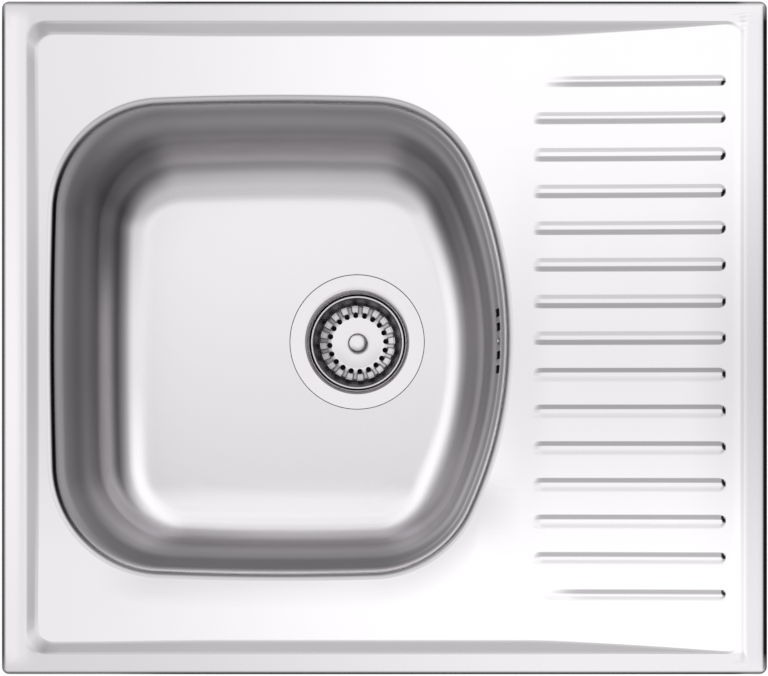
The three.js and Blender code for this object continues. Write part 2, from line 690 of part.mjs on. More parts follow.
function overflowScrew() {
  const wallX = BOWL_RIGHT - wallTopInset - (-OVERFLOW_Z - wallTopDepth) / Math.tan(WALL_TILT);
  const seat = wallX - 2 * GAP;
  const shank = rod(OVERFLOW_SCREW_RADIUS, seat - 1, HOUSING_END - 3, 12);
  const head = rod(3.2, seat - 1.4, seat, 16);
  return atOverflow(joined(shank, head));
}

// The hose drops from the housing, bends under the bowl and meets the waste's side spigot.
function hoseRoute() {
  const low = FLANGE_TOP + SPIGOT_Z;
  const start = v3(HOSE_X, 0, HOUSING_LOW - 0.5);
  const bendTop = v3(HOSE_X, 0, low + 56);
  const downPull = v3(HOSE_X, 0, low + 26);
  const sidePull = v3(DRAIN_X + 104, DRAIN_Y, low);
  const bendEnd = v3(DRAIN_X + 76, DRAIN_Y, low);
  const end = v3(DRAIN_X + 47.6, DRAIN_Y, low);
  const route = new THREE.CurvePath();
  route.add(new THREE.LineCurve3(start, bendTop));
  route.add(new THREE.CubicBezierCurve3(bendTop, downPull, sidePull, bendEnd));
  route.add(new THREE.LineCurve3(bendEnd, end));
  return route;
}

// Plain cuffs at both ends, ribs between them, and the bore on fewer rings.
function overflowHose() {
  const route = hoseRoute();
  const length = route.getLength();
  const ribs = Math.floor((length - 2 * HOSE_CUFF_LENGTH) / HOSE_RIB_PITCH);
  const first = (length - ribs * HOSE_RIB_PITCH) / 2;
  const last = length - first;
  const skin = [[0, HOSE_CUFF], [first, HOSE_CUFF]];
  for (let i = 0; i < ribs; i += 1) {
    skin.push([first + (i + 0.3) * HOSE_RIB_PITCH, HOSE_CREST]);
    skin.push([first + (i + 0.9) * HOSE_RIB_PITCH, HOSE_VALLEY]);
  }
  skin.push([last + 1, HOSE_CUFF], [length, HOSE_CUFF]);
  const bore = [[length, HOSE_BORE]];
  for (let i = ribs; i >= 0; i -= 5) bore.push([first + i * HOSE_RIB_PITCH, HOSE_BORE]);
  bore.push([0, HOSE_BORE]);
  return loft([...skin, ...bore].map(([at, radius]) => hoseRing(route, at / length, radius)), true);
}

// A ring square to the route; its corners keep to one side plane, as the route hardly leaves it.
function hoseRing(route, share, radius) {
  const centre = route.getPointAt(Math.min(1, share));
  const ahead = route.getTangentAt(Math.min(1, share));
  const side = v3(0, 1, 0).addScaledVector(ahead, -ahead.y).normalize();
  const up = ahead.clone().cross(side);
  return Array.from({ length: HOSE_SIDES }, (_, i) => {
    const angle = ((i + 0.5) * 2 * Math.PI) / HOSE_SIDES;
    const out = side.clone().multiplyScalar(Math.cos(angle)).addScaledVector(up, Math.sin(angle));
    return centre.clone().addScaledVector(out, radius);
  });
}

// A band round a hose cuff with a pinched ear, axis along Z.
function hoseClip() {
  const inner = HOSE_CUFF + GAP;
  const band = pipe(inner + 1, inner, -4.5, 4.5, 20);
  const ear = block(-3, 3, inner + 0.4, inner + 5.7, -4.5, 4.5);
  return joined(band, ear);
}

// ---- Assembly ----

const steel = (color, roughness) => ({ color, roughness, metalness: 1 });
const plain = (color, roughness) => ({ color, roughness, metalness: 0 });

const FINISH = {
  brushed: steel(0xd9d8dc, 0.3),
  polished: steel(0xdddde0, 0.15),
  zinc: steel(0xb9bcc0, 0.4),
  foam: plain(0x2c2c2e, 0.95),
  rubber: plain(0x1b1b1c, 0.8),
  bitumen: plain(0x3a3a3c, 0.9),
  plastic: plain(0xe9e9e6, 0.45),
  hose: plain(0xdcdcda, 0.5),
};

function piece(name, manifold, finish, group) {
  const mesh = new THREE.Mesh(geometryOf(manifold), new THREE.MeshStandardMaterial(FINISH[finish]));
  mesh.name = name;
  group.add(mesh);
  return mesh;
}

const sink = new THREE.Group();
sink.position.set(0, SINK_DEPTH / 2 - SEAL_INSET - SEAL_WIDTH / 2, 0);

piece("sink_pressing", sinkPressing(), "brushed", sink);
piece("rim_seal", rimSeal(), "foam", sink);
piece("bowl_sound_pad", bowlPad(), "bitumen", sink);
piece("drainboard_sound_pad", drainboardPad(), "bitumen", sink);
piece("earthing_tag", earthingTag(), "zinc", sink);

Object.entries(EDGES).forEach(([side, { at, turn, rail, spread }]) => {
  const edge = new THREE.Group();
  edge.position.set(at[0], at[1], 0);
  edge.rotation.z = turn;
  sink.add(edge);
  piece(`clamp_rail_${side}`, clampRail(rail), "zinc", edge);
  [-1, 1].forEach((sign, index) => {
    const label = `${side}_${index + 1}`;
    const clamp = new THREE.Group();
    clamp.position.y = sign * spread;
    edge.add(clamp);
    piece(`clamp_bracket_${label}`, clampBracket(), "zinc", clamp);
    piece(`clamp_claw_${label}`, clampClaw(), "zinc", clamp);
    piece(`clamp_screw_${label}`, clampScrew(), "zinc", clamp).position.x = CLAMP_SCREW_INSET;
  });
});

const waste = new THREE.Group();
waste.position.set(DRAIN_X, DRAIN_Y, FLANGE_TOP);
sink.add(waste);
piece("waste_cup", wasteCup(), "polished", waste);
piece("flange_gasket", flangeGasket(), "rubber", waste);
piece("body_gasket", bodyGasket(), "rubber", waste);
piece("waste_body", wasteBody(), "plastic", waste);
piece("clamping_bolt", clampingBolt(), "zinc", waste);
piece("strainer_basket", strainerBasket(), "polished", waste);
piece("plug_knob", plugKnob(), "polished", waste);
piece("plug_stem", plugStem(), "zinc", waste);
piece("rubber_plug", rubberPlug(), "rubber", waste);
piece("plug_retainer", plugRetainer(), "zinc", waste);

piece("overflow_gasket", overflowGasket(), "rubber", sink);
piece("overflow_housing", overflowHousing(), "plastic", sink);
piece("overflow_screw", overflowScrew(), "polished", sink);
piece("overflow_hose", overflowHose(), "hose", sink);
piece("hose_clip_upper", hoseClip(), "zinc", sink).position.set(HOSE_X, 0, HOUSING_LOW - 12);
const lowerClip = piece("hose_clip_lower", hoseClip(), "zinc", waste);
lowerClip.position.set(60, 0, SPIGOT_Z);
lowerClip.rotation.y = Math.PI / 2;

export default sink;
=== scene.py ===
"""An inset kitchen sink with one bowl, a ribbed drainboard, a basket strainer waste and an overflow.

Lengths in the profiles are millimetres from the middle of the sink, with height 0 on top of the worktop.
"""
import math
from contextlib import contextmanager

import bmesh
import bpy
from bpy.props import FloatProperty, FloatVectorProperty, IntProperty, PointerProperty
from mathutils import Matrix, Vector


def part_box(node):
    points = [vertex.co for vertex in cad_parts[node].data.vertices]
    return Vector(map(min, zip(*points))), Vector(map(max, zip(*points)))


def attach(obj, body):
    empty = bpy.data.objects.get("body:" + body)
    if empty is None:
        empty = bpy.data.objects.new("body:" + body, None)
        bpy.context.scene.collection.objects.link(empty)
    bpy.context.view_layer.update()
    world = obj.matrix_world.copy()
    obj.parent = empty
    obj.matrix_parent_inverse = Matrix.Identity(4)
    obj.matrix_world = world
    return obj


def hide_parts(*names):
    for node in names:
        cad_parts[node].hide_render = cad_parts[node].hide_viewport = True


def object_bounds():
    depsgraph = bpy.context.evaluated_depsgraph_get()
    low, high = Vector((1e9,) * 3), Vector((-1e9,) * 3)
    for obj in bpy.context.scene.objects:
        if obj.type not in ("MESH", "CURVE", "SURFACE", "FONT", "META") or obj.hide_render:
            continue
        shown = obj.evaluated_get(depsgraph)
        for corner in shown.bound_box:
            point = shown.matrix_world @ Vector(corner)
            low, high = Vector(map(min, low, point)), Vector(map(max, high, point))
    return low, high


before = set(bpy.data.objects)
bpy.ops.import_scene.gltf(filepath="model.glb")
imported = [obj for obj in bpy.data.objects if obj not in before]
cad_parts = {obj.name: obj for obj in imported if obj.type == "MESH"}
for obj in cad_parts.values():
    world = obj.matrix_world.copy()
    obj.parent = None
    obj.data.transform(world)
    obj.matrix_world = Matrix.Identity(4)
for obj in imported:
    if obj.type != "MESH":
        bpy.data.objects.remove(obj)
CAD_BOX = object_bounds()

bl_info = {
    "name": "Kitchen sink with drainboard",
    "version": (1, 0, 0),
    "blender": (4, 5, 0),
    "location": "View3D > Sidebar > Sink",
    "description": "Models an inset sink with its waste, overflow and clamps",
    "category": "Object",
}

MM = 0.001
SHEET_LOW, SHEET_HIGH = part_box("sink_pressing")
CUP_LOW, CUP_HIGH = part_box("waste_cup")
MIDDLE = Vector(((SHEET_LOW.x + SHEET_HIGH.x) / 2, (SHEET_LOW.y + SHEET_HIGH.y) / 2, 0))
WIDTH = (SHEET_HIGH.x - SHEET_LOW.x) / MM
DEPTH = (SHEET_HIGH.y - SHEET_LOW.y) / MM
DRAIN_X = ((CUP_LOW.x + CUP_HIGH.x) / 2 - MIDDLE.x) / MM
DRAIN_Y = ((CUP_LOW.y + CUP_HIGH.y) / 2 - MIDDLE.y) / MM
FLANGE_TOP = CUP_HIGH.z / MM

# Rim and deck.
RIM_TOP = 4.6
RIM_CORNER = 6
RIM_LEFT = 18.5
RIM_OTHER = 16.5
SLOPE_CORNER = 16
SLOPE_FOOT_CORNER = 13
SLOPE_RUN = 9.6
SLOPE_LEAST = 0.08
DECK = -0.4
RAMP_START = 118
RAMP_RISE = 0.0318
RAMP_REACH = 155
GAUGE = 0.8
GAP = 0.3

# Bowl.
BOWL_LEFT = -252.9
BOWL_RIGHT = 93.9
BOWL_MIDDLE = -79
BOWL_HALF_DEPTH = 180
LEFT_BOW = 3200
SIDE_BOW = 2300
SIDE_CENTRE = -77
RIGHT_BOW = 311
BOWL_CORNER = 83
BOWL_DEPTH = 155
EDGE_LEAD = 5.4
SEAT_RADIUS = 59.5
SEAT_DROP = 2.6
HOLE_RADIUS = 46
FLOOR_FILLET = 40
BACK_FILLET = 48
FRONT_FILLET = 27
WALL_LEAN = math.radians(85)

# Drainboard; the painted shade on the ribs' flanks changes sides in front of RIB_SWITCH.
RIB_COUNT = 15
RIB_PITCH = 27.8
RIB_LEFT = 112
RIB_RIGHT = 258
RIB_CREASE = 0.45
BOARD_LEFT = 104
BOARD_RIGHT = 262
BOARD_HALF = 222
RIB_SWITCH = -14
PAD_X = 188

# Overflow.
OVERFLOW_Z = -42
SLOT_PITCH = 11.1
HOUSING_X = 93.3
HOUSING_END = 113.3
HOUSING_LOW = -60
HOUSING_HIGH = -24
HOUSING_HALF = 33
HOSE_X = 104
HOSE_END_DROP = 30
SPIGOT_BORE = 7

# Clamps, from the sink's outer edge.
RAIL_INSET = 14.5
RAIL_TOP = 3.5
RAIL_FOOT = -15
BRACKET_INSET = 19.3
BRACKET_REACH = 32
BRACKET_FOOT = -56
BRACKET_SHELF = -22
SCREW_INSET = 27
CLAW_FOOT = -46
CLAW_TIP = -38.3

# Length of a rail and how far its clamps are from its middle, on the short and on the long edges.
SHORT_EDGE = (370, 140)
LONG_EDGE = (440, 170)

# Camera, in metres: its place beside the middle of the sink and what the picture spans at the rim.
CAMERA_X = 0.008
CAMERA_Y = -0.066
PICTURE_SPAN = 0.580
LENS_SHIFT = (-0.0143, 0.1133)


# ---- Sizes and colours that can be changed in the sidebar ----

def length(name, description, default, low=0.0, high=1.0):
    return FloatProperty(name=name, description=description, default=default, min=low, max=high,
                         unit="LENGTH", subtype="DISTANCE", precision=5)


def fraction(name, description, default):
    return FloatProperty(name=name, description=description, default=default, min=0, max=1,
                         subtype="FACTOR")


def colour(name, description, default):
    return FloatVectorProperty(name=name, description=description, default=default, size=4,
                               min=0, max=1, subtype="COLOR")


class SheetSettings(bpy.types.PropertyGroup):
    gauge: length("Gauge", "Thickness of the pressed steel", 0.0008)
    roll: length("Edge roll", "Radius where the deck turns down into the bowl", 0.007)
    crease: length("Crease", "Half the width of the soft bends of the rim", 0.0012)
    rib_height: length("Rib height", "How far the ribs stand out of the drainboard", 0.0016)
    rib_width: length("Rib width", "Width of a rib at its foot", 0.0104)
    rib_flank: length("Rib flank", "Width of a rib's sloping side", 0.0037)
    slot_width: length("Slot width", "Width of an overflow slot", 0.0065)
    slot_height: length("Slot height", "Height of an overflow slot", 0.020)


class WasteSettings(bpy.types.PropertyGroup):
    flutes: IntProperty(name="Flutes", description="Flutes and holes round the strainer basket",
                        default=20, min=4, max=40)
    flute_depth: length("Flute depth", "How far the basket's flutes stand up", 0.0010)
    hole: length("Strainer hole", "Diameter of a hole in the basket", 0.0046)
    phase: FloatProperty(name="Hole turn", description="Angle of the first hole of the basket",
                         default=math.radians(4.2), unit="ROTATION", subtype="ANGLE")
    screw_pitch: length("Thread pitch", "Pitch of the clamp screws and the bolt", 0.001)
    outlet_pitch: length("Outlet pitch", "Pitch of the thread on the waste's outlet", 0.0023)
    hose_ribs: length("Hose rib pitch", "Distance between the ribs of the overflow hose", 0.0044)


class FinishSettings(bpy.types.PropertyGroup):
    steel: colour("Steel", "Colour of the pressed sheet", (0.838, 0.8165, 0.838, 1))
    bright: colour("Bright steel", "Colour of the waste's polished steel", (0.69, 0.668, 0.69, 1))
    zinc: colour("Zinc", "Colour of the plated clamps", (0.56, 0.58, 0.60, 1))
    foam: colour("Foam", "Colour of the rim seal", (0.030, 0.030, 0.032, 1))
    rubber: colour("Rubber", "Colour of gaskets and plug", (0.016, 0.016, 0.017, 1))
    pad: colour("Sound pad", "Colour of the sound-deadening pads", (0.055, 0.055, 0.058, 1))
    plastic: colour("Plastic", "Colour of the waste body and housing", (0.80, 0.80, 0.78, 1))
    hose: colour("Hose", "Colour of the overflow hose", (0.70, 0.70, 0.69, 1))
    steel_roughness: fraction("Steel roughness", "How matt the pressed sheet is", 0.26)
    bright_roughness: fraction("Bright roughness", "How matt the waste's steel is", 0.15)


class StageSettings(bpy.types.PropertyGroup):
    overhead: FloatProperty(name="Overhead light", description="Brightness of the light from above",
                            default=1.23, min=0, max=10)
    window: fraction("Light behind", "The low light behind the sink, against the overhead light", 0.75)
    front: fraction("Front shade", "The light from the front, against the overhead light", 0.84)
    camera_height: length("Camera height", "Height of the camera over the rim", 1.180, 0.2, 5)
    floor: colour("Floor", "Colour of the floor", (0.72, 0.72, 0.72, 1))


# ---- Modelling helpers ----

def deselect_all():
    bpy.ops.object.select_all(action="DESELECT")


def activate(piece):
    deselect_all()
    piece.select_set(True)
    bpy.context.view_layer.objects.active = piece


def new_piece(name, add, **settings):
    """Adds a primitive with nothing else selected and names it."""
    deselect_all()
    add(**settings)
    piece = bpy.context.object
    piece.name = name
    piece.data.name = name
    return piece


@contextmanager
def edit_mode(piece):
    """Opens a piece in edit mode with all of it selected."""
    activate(piece)
    bpy.ops.object.mode_set(mode="EDIT")
    bpy.ops.mesh.select_all(action="SELECT")
    yield bmesh.from_edit_mesh(piece.data)
    bmesh.update_edit_mesh(piece.data)
    bpy.ops.object.mode_set(mode="OBJECT")


def apply(piece, kind, **settings):
    """Adds a modifier of a kind and applies it."""
    activate(piece)
    modifier = piece.modifiers.new(kind.title(), kind)
    for name, value in settings.items():
        setattr(modifier, name, value)
    bpy.ops.object.modifier_apply(modifier=modifier.name)
    return piece


def cut_away(piece, *cutters, operation="DIFFERENCE"):
    """Cuts other pieces out of one, or joins them to it, and removes them."""
    for cutter in cutters:
        apply(piece, "BOOLEAN", object=cutter, operation=operation, solver="EXACT")
        bpy.data.objects.remove(cutter)
    return piece


def joined(piece, *others):
    return cut_away(piece, *others, operation="UNION")


def together(name, pieces):
    """Makes several loose pieces one object."""
    activate(pieces[0])
    for piece in pieces:
        piece.select_set(True)
    bpy.ops.object.join()
    pieces[0].name = name
    return pieces[0]


def bevelled(piece, width):
    return apply(piece, "BEVEL", width=width * MM, segments=2, limit_method="ANGLE",
                 angle_limit=math.radians(40), use_clamp_overlap=True)


def placed(piece, matrix):
    """Moves a piece that stands at the origin to its place, and keeps the place in its mesh."""
    activate(piece)
    piece.matrix_world = matrix
    bpy.ops.object.transform_apply(location=True, rotation=True, scale=True)
    return piece


def copy_of(piece, name):
    copy = piece.copy()
    copy.data = piece.data.copy()
    copy.name = name
    copy.data.name = name
    bpy.context.collection.objects.link(copy)
    return copy


def at(x, y, z, turn=None):
    """Where a piece's own origin goes, in millimetres from the middle of the sink."""
    place = Matrix.Translation(MIDDLE + Vector((x, y, z)) * MM)
    return place @ turn if turn else place


def shift(x=0, y=0, z=0):
    return Matrix.Translation((x * MM, y * MM, z * MM))


def turned(degrees):
    return Matrix.Rotation(math.radians(degrees), 4, "Z")


ALONG_X = Matrix.Rotation(math.pi / 2, 4, "Y")
IN_WASTE = at(DRAIN_X, DRAIN_Y, FLANGE_TOP)
ON_SCREW = shift(SCREW_INSET)


def finished(piece, finish, body, node, angle=35):
    """Smooths a piece, gives it its finish, ties it to its body and hides the node it stands for."""
    activate(piece)
    bpy.ops.object.shade_smooth_by_angle(angle=math.radians(angle))
    look, slot = finish_named(finish)
    piece.data.materials.clear()
    piece.data.materials.append(look)
    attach(piece, body)
    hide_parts(node)
    return piece


def rounded(points, radius, closed=False, steps=4):
    """A line of (x, z) points with its corners rounded; small turns are left as they are."""
    made = []
    count = len(points)
    for i, point in enumerate(points):
        corner = Vector(point)
        if not closed and i in (0, count - 1):
            made.append(tuple(corner))
            continue
        before = Vector(points[i - 1]) - corner
        after = Vector(points[(i + 1) % count]) - corner
        turn = math.pi - before.angle(after)
        if turn < math.radians(12):
            made.append(tuple(corner))
            continue
        reach = min(radius * math.tan(turn / 2), before.length * 0.45, after.length * 0.45)
        start = corner + before.normalized() * reach
        end = corner + after.normalized() * reach
        for k in range(steps + 1):
            t = k / steps
            made.append(tuple(start.lerp(corner, t).lerp(corner.lerp(end, t), t)))
    return made


def trace(name, points):
    """A line through (x, z) points: a plane merged to one vertex, extruded from point to point."""
    piece = new_piece(name, bpy.ops.mesh.primitive_plane_add, size=MM)
    with edit_mode(piece) as mesh:
        bpy.ops.mesh.merge(type="CENTER")
        mesh.verts.ensure_lookup_table()
        here = Vector((points[0][0], 0, points[0][1])) * MM
        mesh.verts[0].co = here
        for x, z in points[1:]:
            there = Vector((x, 0, z)) * MM
            bpy.ops.mesh.extrude_vertices_move(TRANSFORM_OT_translate={"value": there - here})
            here = there
    return piece


def spun(name, profile, steps=64):
    """A body of revolution about the upright axis, from (radius, height) points."""
    piece = trace(name, profile)
    with edit_mode(piece):
        bpy.ops.mesh.spin(steps=steps, angle=2 * math.pi, center=(0, 0, 0), axis=(0, 0, 1))
        bpy.ops.mesh.select_all(action="SELECT")
        bpy.ops.mesh.remove_doubles(threshold=2e-6)
        bpy.ops.mesh.normals_make_consistent(inside=False)
    return piece


def ring_of(profile):
    """A closed profile, which ends where it starts."""
    return [*profile, profile[0]]


def drawn(name, section, reach, radius=0, steps=4):
    """A bar of one section of (x, z) points, drawn out along Y, half to each side."""
    outline = rounded(section, radius, True, steps) if radius else section
    piece = trace(name, ring_of(outline))
    with edit_mode(piece):
        bpy.ops.mesh.remove_doubles(threshold=2e-6)
        bpy.ops.mesh.edge_face_add()
        bpy.ops.transform.translate(value=(0, -reach / 2 * MM, 0))
        bpy.ops.mesh.extrude_region_move(TRANSFORM_OT_translate={"value": (0, reach * MM, 0)})
        bpy.ops.mesh.select_all(action="SELECT")
        bpy.ops.mesh.normals_make_consistent(inside=False)
    return piece


def rod(name, radius, low, high, steps=24):
    return spun(name, [(0, low), (radius, low), (radius, high), (0, high)], steps)


def block(name, x0, x1, y0, y1, z0, z1):
    """A cube primitive pulled to its size, as a cutter or as one part of a piece."""
    piece = new_piece(name, bpy.ops.mesh.primitive_cube_add, size=1)
    with edit_mode(piece):
        bpy.ops.transform.resize(value=((x1 - x0) * MM, (y1 - y0) * MM, (z1 - z0) * MM))
        middle = Vector((x0 + x1, y0 + y1, z0 + z1)) / 2 * MM
        bpy.ops.transform.translate(value=middle)
    return piece


def lofted(name, rings, ends="open"):
    """A circle extruded from ring to ring; its ends stay open, are capped, or are joined."""
    if ends == "joined":
        rings = [*rings, rings[0]]
    piece = new_piece(name, bpy.ops.mesh.primitive_circle_add, vertices=len(rings[0]), radius=1)
    with edit_mode(piece) as mesh:
        column = mesh.verts.layers.int.new("column")
        for i, vertex in enumerate(mesh.verts):
            vertex[column] = i
            vertex.co = Vector(rings[0][i]) * MM
        for ring in rings[1:]:
            bpy.ops.mesh.extrude_edges_move()
            for vertex in mesh.verts:
                if vertex.select:
                    vertex.co = Vector(ring[vertex[column]]) * MM
        bpy.ops.mesh.select_all(action="SELECT")
        if ends == "capped":
            bpy.ops.mesh.fill_holes(sides=0)
        if ends == "joined":
            bpy.ops.mesh.remove_doubles(threshold=2e-6)
        if ends != "open":
            bpy.ops.mesh.select_all(action="SELECT")
            bpy.ops.mesh.normals_make_consistent(inside=False)
    piece.data.attributes.remove(piece.data.attributes["column"])
    return piece


def threaded(radius, low, high, pitch, depth):
    """A thread's (radius, height) points from low to high, as even rings."""
    turns = round((high - low) / pitch)
    step = (high - low) / turns
    points = []
    for i in range(turns):
        foot = low + i * step
        points += [(radius - depth, foot), (radius, foot + step * 0.4), (radius, foot + step * 0.6)]
    return [*points, (radius - depth, high)]


def spread(start, end, steps, last=True):
    """Even numbers from start to end."""
    return [start + (end - start) * i / steps for i in range(steps + 1 if last else steps)]


def line(start, end, steps):
    """Even points from a start, which is left out, to an end."""
    (x, z), (u, w) = start, end
    return [(x + (u - x) * t, z + (w - z) * t) for t in spread(0, 1, steps)[1:]]


def smooth(x):
    x = max(0.0, min(1.0, x))
    return x * x * (3 - 2 * x)


def eased(distance, half):
    """A ramp that starts at 0 with a soft bend of a half width."""
    if distance <= -half:
        return 0.0
    if distance >= half:
        return distance
    return (distance + half) ** 2 / (4 * half)


# ---- Outlines in plan ----

def arc(x, y, radius, start, end, steps, last=False):
    angles = spread(start, end, steps, last)
    return [(x + radius * math.cos(a), y + radius * math.sin(a)) for a in angles]


def round_box(x0, x1, y0, y1, radius, cells):
    """A rectangle with round corners, from its right side on, as points of its four arcs."""
    quarter = math.pi / 2
    middles = [(x1, y1), (x0, y1), (x0, y0), (x1, y0)]
    points = []
    for i, (x, y) in enumerate(middles):
        inwards = radius if x == x1 else -radius, radius if y == y1 else -radius
        points += arc(x - inwards[0], y - inwards[1], radius, i * quarter, (i + 1) * quarter, cells, True)
    return points


RIM_CELLS = (48, 60)
CORNER_CELLS = 10


def rim_outline(left, other, radius):
    """A rectangle with round corners, in from the sink's edge, from the front end of its right side."""
    x0, x1 = -WIDTH / 2 + left + radius, WIDTH / 2 - other - radius
    y1 = DEPTH / 2 - other - radius
    quarter = math.pi / 2
    side, back = RIM_CELLS
    points = [(x1 + radius, y) for y in spread(-y1, y1, side, False)]
    points += arc(x1, y1, radius, 0, quarter, CORNER_CELLS)
    points += [(x, y1 + radius) for x in spread(x1, x0, back, False)]
    points += arc(x0, y1, radius, quarter, 2 * quarter, CORNER_CELLS)
    points += [(x0 - radius, y) for y in spread(y1, -y1, side, False)]
    points += arc(x0, -y1, radius, 2 * quarter, 3 * quarter, CORNER_CELLS)
    points += [(x, -y1 - radius) for x in spread(x0, x1, back, False)]
    points += arc(x1, -y1, radius, 3 * quarter, 4 * quarter, CORNER_CELLS)
    return points


def corner_centre(end_x, end_radius):
    """Centre of the corner arc that touches the back side's arc and an end's arc from inside."""
    side = Vector((SIDE_CENTRE, BOWL_HALF_DEPTH - SIDE_BOW))
    end = Vector((end_x, 0))
    side_reach = SIDE_BOW - BOWL_CORNER
    end_reach = end_radius - BOWL_CORNER
    apart = (end - side).length
    along = (side_reach ** 2 - end_reach ** 2 + apart ** 2) / (2 * apart)
    across = math.sqrt(side_reach ** 2 - along ** 2)
    unit = (end - side) / apart
    offset = Vector((-unit.y, unit.x)) * (across if unit.x > 0 else -across)
    return side + unit * along + offset


def bowl_outline(inset, cells=(20, 28, 24, 28, 12)):
    """The bowl's outline, drawn in by a distance, as four long arcs and four corner arcs."""
    left_x, right_x = BOWL_LEFT + LEFT_BOW, BOWL_RIGHT - RIGHT_BOW
    side_y = BOWL_HALF_DEPTH - SIDE_BOW
    near, far = corner_centre(right_x, RIGHT_BOW), corner_centre(left_x, LEFT_BOW)
    right = math.atan2(near.y, near.x - right_x)
    back_right = math.atan2(near.y - side_y, near.x - SIDE_CENTRE)
    back_left = math.atan2(far.y - side_y, far.x - SIDE_CENTRE)
    left = math.atan2(far.y, far.x - left_x)
    back = arc(right_x, 0, RIGHT_BOW - inset, 0, right, cells[0])
    back += arc(near.x, near.y, BOWL_CORNER - inset, right, back_right, cells[1])
    back += arc(SIDE_CENTRE, side_y, SIDE_BOW - inset, back_right, back_left, cells[2])
    back += arc(far.x, far.y, BOWL_CORNER - inset, back_left, left, cells[3])
    back += arc(left_x, 0, LEFT_BOW - inset, left, math.pi, cells[4], True)
    return back + [(x, -y) for x, y in reversed(back[1:-1])]


def round_drain(outline, radius):
    """Points on a circle round the drain, one on the ray to each point of an outline."""
    made = []
    for x, y in outline:
        reach = math.hypot(x - DRAIN_X, y - DRAIN_Y)
        made.append((DRAIN_X + (x - DRAIN_X) * radius / reach, DRAIN_Y + (y - DRAIN_Y) * radius / reach))
    return made


def raised(outline, height):
    return [(x, y, height) for x, y in outline]


def in_frame(points):
    """A ring measured from the shared frame's origin and no longer from the middle of the sink."""
    return [(x + MIDDLE.x / MM, y + MIDDLE.y / MM, z) for x, y, z in points]


def wall_section(roll, fillet=FLOOR_FILLET):
    """Inset and depth of the wall's top and of its foot, and the inset of the floor's edge."""
    top = roll * math.sin(WALL_LEAN) - EDGE_LEAD, roll * (1 - math.cos(WALL_LEAN))
    foot_depth = BOWL_DEPTH - fillet * (1 - math.cos(WALL_LEAN))
    foot = top[0] + (foot_depth - top[1]) / math.tan(WALL_LEAN), foot_depth
    return top, foot, foot[0] + fillet * math.sin(WALL_LEAN)


def fillet_towards(y):
    """The fillet's radius where the wall faces out with this share of the back (1) or front (-1)."""
    other = BACK_FILLET if y > 0 else FRONT_FILLET
    return FLOOR_FILLET + (other - FLOOR_FILLET) * y ** 2


def bowl_section(place, roll, fillet):
    """Inset and depth at a place: -1 to 0 round the roll, 0 to 1 down the wall, 1 to 2 round the fillet."""
    top, foot, floor_inset = wall_section(roll, fillet)
    if place < 0:
        lean = (place + 1) * WALL_LEAN
        return roll * math.sin(lean) - EDGE_LEAD, roll * (1 - math.cos(lean))
    if place < 1:
        return top[0] + (foot[0] - top[0]) * place, top[1] + (foot[1] - top[1]) * place
    lean = (2 - place) * WALL_LEAN
    return floor_inset - fillet * math.sin(lean), BOWL_DEPTH - fillet * (1 - math.cos(lean))


def deck_height(x):
    """The deck is level round the bowl and rises to the right under the ribs, steeper towards the rim."""
    return DECK + RAMP_RISE * RAMP_REACH * (eased(x - RAMP_START, 12) / RAMP_REACH) ** 1.3


# ---- Shader helpers ----

class Wire:
    """One output of a shader node. Sums and products of wires add their Math nodes."""

    def __init__(self, board, socket):
        self.board, self.socket = board, socket

    def maths(self, operation, *values):
        return self.board.node("ShaderNodeMath", {"operation": operation}, dict(enumerate(values)))

    def __add__(self, other):
        return self.maths("ADD", self, other)

    def __mul__(self, other):
        return self.maths("MULTIPLY", self, other)


